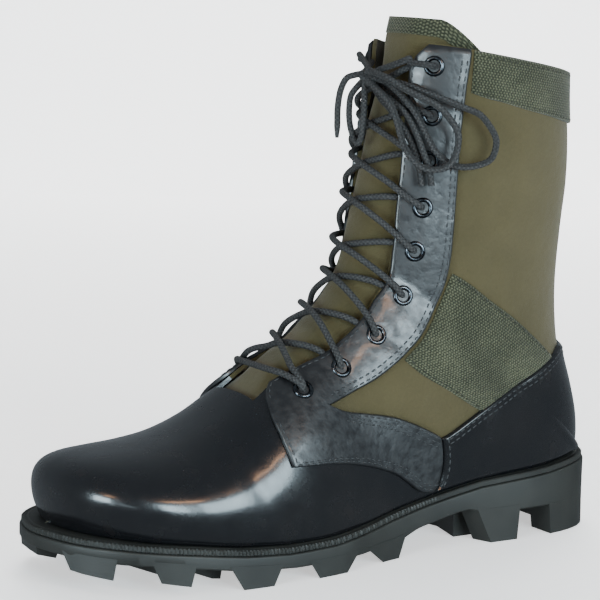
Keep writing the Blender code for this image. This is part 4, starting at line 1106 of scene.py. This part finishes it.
def makeEyelet(number, side, name):
    look = eyelets
    s, t = spotsOnSkin([look["spots"][number - 1]], side)[0]
    around = np.array([(s + ds, t + dt) for ds in (-0.25, 0.25) for dt in (-0.04, 0.04)])
    out = skinNormal(around[:, 0], around[:, 1]).sum(axis=0)
    out /= np.linalg.norm(out)
    seat = skinAt(s, t, look["seat"])
    first = np.cross(out, (0.3, 0.2, 0.9))
    first /= np.linalg.norm(first)
    second = np.cross(out, first)
    verts, faces, kinds = [], [], []
    sides, rows = look["sides"], len(look["profile"])
    for k in range(sides):
        turn = 2 * math.pi * k / sides
        ray = first * math.cos(turn) + second * math.sin(turn)
        verts += [seat + ray * r + out * h for r, h in look["profile"]]
    for k in range(sides):
        ahead = (k + 1) % sides
        for m in range(rows - 1):
            faces.append([k * rows + m, ahead * rows + m, ahead * rows + m + 1, k * rows + m + 1])
            kinds.append(0)
    faces.append([k * rows for k in range(sides)])
    kinds.append(1)
    piece = addPiece(f"ring_{name}_{number}", verts, faces, ["metal", "shadow"], None, kinds, 70)
    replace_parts(piece, f"eyelet_{name}_{number}")


for sideNumber, sideName in ((1, "lateral"), (-1, "medial")):
    for eyeletNumber in range(1, 10):
        makeEyelet(eyeletNumber, sideNumber, sideName)
print("eyelets ready")


# Lace: crossings through the eyelets, then the bow's cords

lace = {"radius": 1.6, "sides": 12, "over": 4.7, "under": 1.5, "tipShare": 0.55, "tipRun": 12}


def tubeParts(points, radius, closed=False, tapered=False):  # a round tube's verts, faces and cloth places
    points = np.asarray(points, float)
    count, sides = len(points), lace["sides"]
    if closed:
        along = np.roll(points, -1, axis=0) - np.roll(points, 1, axis=0)
    else:
        along = np.gradient(points, axis=0)
    along /= np.linalg.norm(along, axis=1)[:, None]
    side = np.cross(along[0], (0.2, 0.3, 0.9))
    verts, cloth, faces = [], [], []
    lengths = lengthAlong(points)
    for k in range(count):
        side = side - along[k] * (side @ along[k])
        side /= np.linalg.norm(side)
        up = np.cross(along[k], side)
        slim = min(1.0, lace["tipShare"] + (lengths[-1] - lengths[k]) / lace["tipRun"])
        size = radius * (slim if tapered else 1.0)
        for m in range(sides):
            angle = 2 * math.pi * m / sides
            verts.append(points[k] + (side * math.cos(angle) + up * math.sin(angle)) * size)
            cloth.append((lengths[k], angle))
    for k in range(count if closed else count - 1):
        ahead = (k + 1) % count
        for m in range(sides):
            after = (m + 1) % sides
            faces.append([k * sides + m, k * sides + after, ahead * sides + after, ahead * sides + m])
    if not closed:
        faces.append(list(reversed(range(sides))))
        faces.append([(count - 1) * sides + m for m in range(sides)])
    return verts, faces, cloth


def addLace(name, tubes):
    verts, faces, cloth = [], [], []
    for tubeVerts, tubeFaces, tubeCloth in tubes:
        faces += [[index + len(verts) for index in face] for face in tubeFaces]
        verts += tubeVerts
        cloth += tubeCloth
    return addPiece(name, verts, faces, ["lace"], np.array(cloth), sharp=60)


def raised(spots, count):  # a smooth line through rows of s, t and height above the skin
    s, t, rise = np.array(spots, float).T
    return spreadLine(skinPoint(s, t) + skinNormal(s, t) * rise[:, None], count)


# Out of an eyelet, over the eyestay's edge, across the gap and under the other edge
def strandPath(lower, upper, side, over):
    (lowS, lowT), (highS, highT) = lower, upper
    edgeLow, edgeHigh = throatTurn(lowS), throatTurn(highS)
    steps = [
        (0.0, lowT, 1.2), (0.02, lowT * 0.93, 4.4), (0.09, edgeLow * 1.12, 4.3), (0.20, edgeLow * 0.82, 3.5),
        (0.34, edgeLow * 0.42, over), (0.5, 0.0, over), (0.68, -edgeHigh * 0.45, over - 0.2),
        (0.86, -edgeHigh * 0.84, 1.0), (0.97, -edgeHigh * 1.12, -1.2),
    ]
    return raised([(lowS + (highS - lowS) * share, t * side, rise) for share, t, rise in steps], 44)


def makeCrossings():
    places = spotsOnSkin(eyelets["spots"], 1)
    for number in range(1, 9):
        upper, lower = places[number - 1], places[number]
        strands = [strandPath(lower, upper, 1, lace["over"]), strandPath(lower, upper, -1, lace["under"])]
        crossing = addLace(f"lace_x_{number}", [tubeParts(strand, lace["radius"]) for strand in strands])
        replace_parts(crossing, f"lace_cross_{number}")
    s, t = places[-1]
    edge = throatTurn(s)
    half = [(s, t, 1.2), (s - 0.05, t * 0.9, 4.2), (s - 0.25, edge * 1.1, 4.2), (s - 0.4, edge * 0.6, 3.2)]
    other = [(row, -turn, rise) for row, turn, rise in reversed(half)]
    lowest = raised(half + [(s - 0.45, 0, 2.6)] + other, 60)
    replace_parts(addLace("lace_lowest", [tubeParts(lowest, lace["radius"])]), "lace_bar")


makeCrossings()

cordRoutes = {
    "lace_lead_lateral": [(131.2, 7.9, 233.4), (129.5, 12, 234.8), (127, 17.5, 237), (124.6, 21.5, 239),
                          (121.6, 25.2, 238.8)],
    "lace_lead_medial": [(131.2, -3.9, 233.4), (129.5, -8, 234.8), (127, -15, 237), (124.6, -21.5, 239),
                         (121.6, -25.2, 238.8)],
    "lace_end_left": [(137.3, -4.6, 230), (140, -9, 228), (142, -11, 222), (143, -11.5, 214),
                      (143, -11.5, 206), (143, -11.5, 199)],
    "lace_loop_left": [(135.6, -4.3, 225.3), (138, -7.5, 220), (139, -7.5, 213), (139, -6.5, 206),
                       (138.5, -4, 200), (138, -1, 197), (138, 2, 200), (138, 3.2, 207), (137.5, 3.2, 214),
                       (136.8, 2.2, 219.5), (136.2, 1, 223.9)],
    "lace_loop_inner": [(136, 9.2, 231.6), (135, 19, 229.5), (131, 27, 225), (125, 34, 221), (119, 39, 217),
                        (114, 42, 211), (111, 44, 205), (111, 44, 198), (113, 43.5, 192), (118, 41.5, 188),
                        (125, 37.5, 188), (130, 33, 193), (131.5, 28, 200), (133, 25, 209),
                        (134.5, 21.5, 217), (136.4, 14.5, 223), (136.6, 9, 225.7)],
    "lace_loop_outer": [(134, 9.5, 228.4), (128.5, 21, 227), (123, 30, 224), (114, 38, 220), (105, 41, 216.5),
                        (97, 43, 213), (90, 44, 205), (88, 44, 199), (91, 44, 192), (99, 43, 189),
                        (107, 41, 188.6), (112.4, 38.6, 190.6), (118, 36, 196), (121, 34, 202),
                        (124, 31, 210), (126.8, 25, 218), (129.8, 16, 225), (130.4, 9.8, 227.4)],
    "lace_end_right_1": [(131.2, 2.4, 223.9), (131.6, 9, 219), (131.2, 16.5, 214.5), (128.8, 22.5, 207.5),
                         (125, 27, 198), (123, 30, 188), (121.8, 31, 179)],
    "lace_end_right_2": [(133.6, 5.8, 224.3), (131.2, 15.5, 219.5), (127.5, 24, 213), (125, 29, 205),
                         (122.5, 32.5, 195), (120.3, 35, 186), (119.3, 35.5, 179.5)],
}
knotLook = {"middle": (134, 2, 229.5), "size": (1.7, 1.75, 1.25), "radius": 1.7}


def makeKnot():  # a trefoil, with a stub toward each cord
    turn = np.linspace(0, 2 * math.pi, 90, endpoint=False)
    curl = np.stack([-np.sin(3 * turn), np.sin(turn) + 2 * np.sin(2 * turn),
                     np.cos(turn) - 2 * np.cos(2 * turn)], axis=1)
    middle = np.array(knotLook["middle"])
    tubes = [tubeParts(middle + curl * np.array(knotLook["size"]), knotLook["radius"], True)]
    tips = [(route[end], route[beside]) for name, route in cordRoutes.items()
            for end, beside in ((0, 1), (-1, -2)) if end == 0 or "loop" in name]
    for tip, ahead in tips:
        tip, ahead = np.array(tip, float), np.array(ahead, float)
        back = (tip - ahead) / np.linalg.norm(tip - ahead)
        bend = tip + back * 2.0 + (middle - tip) * 0.25
        tubes.append(tubeParts(spreadLine([tip, bend, middle + (tip - middle) * 0.3], 8), lace["radius"]))
    knot = addLace("lace_bow_knot", tubes)
    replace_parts(knot, "lace_knot")
    return knot


def boreOf(side):  # a cord's way over the eyestay and down into the top eyelet
    s, t = spotsOnSkin([eyelets["spots"][0]], side)[0]
    edge = side * throatTurn(s)
    return [tuple(skinAt(s, edge * 1.06, 4.6)), tuple(skinAt(s, t * 0.9, 5.6)), tuple(skinAt(s, t, 3.4)),
            tuple(skinAt(s, t, 0.6))]


def makeCords():
    knot = makeKnot()
    for name, route in cordRoutes.items():
        if "lead" in name:
            route = route[:4] + boreOf(1 if "lateral" in name else -1)
        path = spreadLine(route, max(int(len(route) * 6), 24))
        tube = tubeParts(path, lace["radius"], tapered=name == "lace_end_left")
        cord = addLace(name.replace("lace_", "cord_"), [tube])
        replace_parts(cord, name)


makeCords()
print("lace ready")


# Floor and soft studio light

studio = {
    "floor": (0.88, 0.88, 0.88), "glow": 0.75, "world": (0.80, 0.91, 1.0), "worldStrength": 0.30,
    "lights": [
        ("window", (0.12, 1.45, 0.40), (0.36, 0.50), 15.0, (0.70, 0.90, 1.0)),
        ("second window", (-0.42, 1.35, 0.42), (0.40, 0.60), 15.0, (0.70, 0.90, 1.0)),
        ("front", (1.50, 0.50, 0.24), (0.62, 0.47), 24.0, (0.72, 0.91, 1.0)),
        ("side fill", (1.15, 1.2, 0.05), (0.5, 0.10), 1.0, (0.72, 0.91, 1.0)),
        ("ceiling", (0.0, 0.0, 2.3), (3.2, 3.2), 20.0, (1.0, 0.99, 0.97)),
        ("warm front", (1.4, 0.75, 0.78), (0.35, 0.12), 3.0, (1.0, 0.55, 0.30)),
        ("warm side", (-0.1, 1.4, 1.0), (0.5, 0.12), 4.0, (1.0, 0.55, 0.30)),
        ("backdrop", (-1.3, -1.6, 2.2), (2.2, 1.0), 120.0, (1.0, 1.0, 1.0)),
    ],
    "backdropSpot": (-1.6, -2.4, 0.0), "bootSpot": (0.0, 0.0, 0.08),
    "reach": 5.0, "near": 4.0, "far": 1.6, "bend": 0.9, "height": 4.0,
}


def makeStudio():
    graph = Graph("pale floor")
    pale = graph.finish(Base_Color=(*studio["floor"], 1.0), Roughness=0.9, Specular_IOR_Level=0.1,
                        Emission_Color=(1.0, 1.0, 1.0, 1.0), Emission_Strength=studio["glow"])
    reach, far, bend = studio["reach"], studio["far"], studio["bend"]
    back = Vector((math.sin(cameraSet["turn"]), math.cos(cameraSet["turn"]), 0.0))
    right = Vector((-back.y, back.x, 0.0))
    curve = [(-far - bend * math.sin(a), bend * (1 - math.cos(a))) for a in np.linspace(0, math.pi / 2, 12)]
    for name, lines in (("floor", [(studio["near"], 0.0), curve[0]]),
                        ("backdrop", curve + [(-far - bend, studio["height"])])):
        mesh = bpy.data.meshes.new(name)
        verts = [tuple(back * ahead + right * side * reach + Vector((0, 0, high)))
                 for ahead, high in lines for side in (-1, 1)]
        mesh.from_pydata(verts, [], [(2 * k, 2 * k + 1, 2 * k + 3, 2 * k + 2) for k in range(len(lines) - 1)])
        mesh.shade_smooth()
        mesh.materials.append(pale)
        sheet = bpy.data.objects.new(name, mesh)
        sheet.visible_glossy = False
        bpy.context.scene.collection.objects.link(sheet)
    world = bpy.data.worlds.new("studio")
    world.use_nodes = True
    background = world.node_tree.nodes["Background"]
    background.inputs["Color"].default_value = (*studio["world"], 1.0)
    background.inputs["Strength"].default_value = studio["worldStrength"]
    bpy.context.scene.world = world
    for name, spot, size, power, color in studio["lights"]:
        light = bpy.data.lights.new(name, "AREA")
        light.shape = "RECTANGLE"
        light.size, light.size_y = size
        light.energy, light.color = power, color
        lamp = bpy.data.objects.new(name, light)
        lamp.location = spot
        target = Vector(studio["backdropSpot" if name == "backdrop" else "bootSpot"])
        lamp.rotation_euler = (target - Vector(spot)).to_track_quat("-Z", "Y").to_euler()
        lamp.visible_glossy = name not in ("ceiling", "backdrop")
        bpy.context.scene.collection.objects.link(lamp)


makeStudio()
print("studio ready")
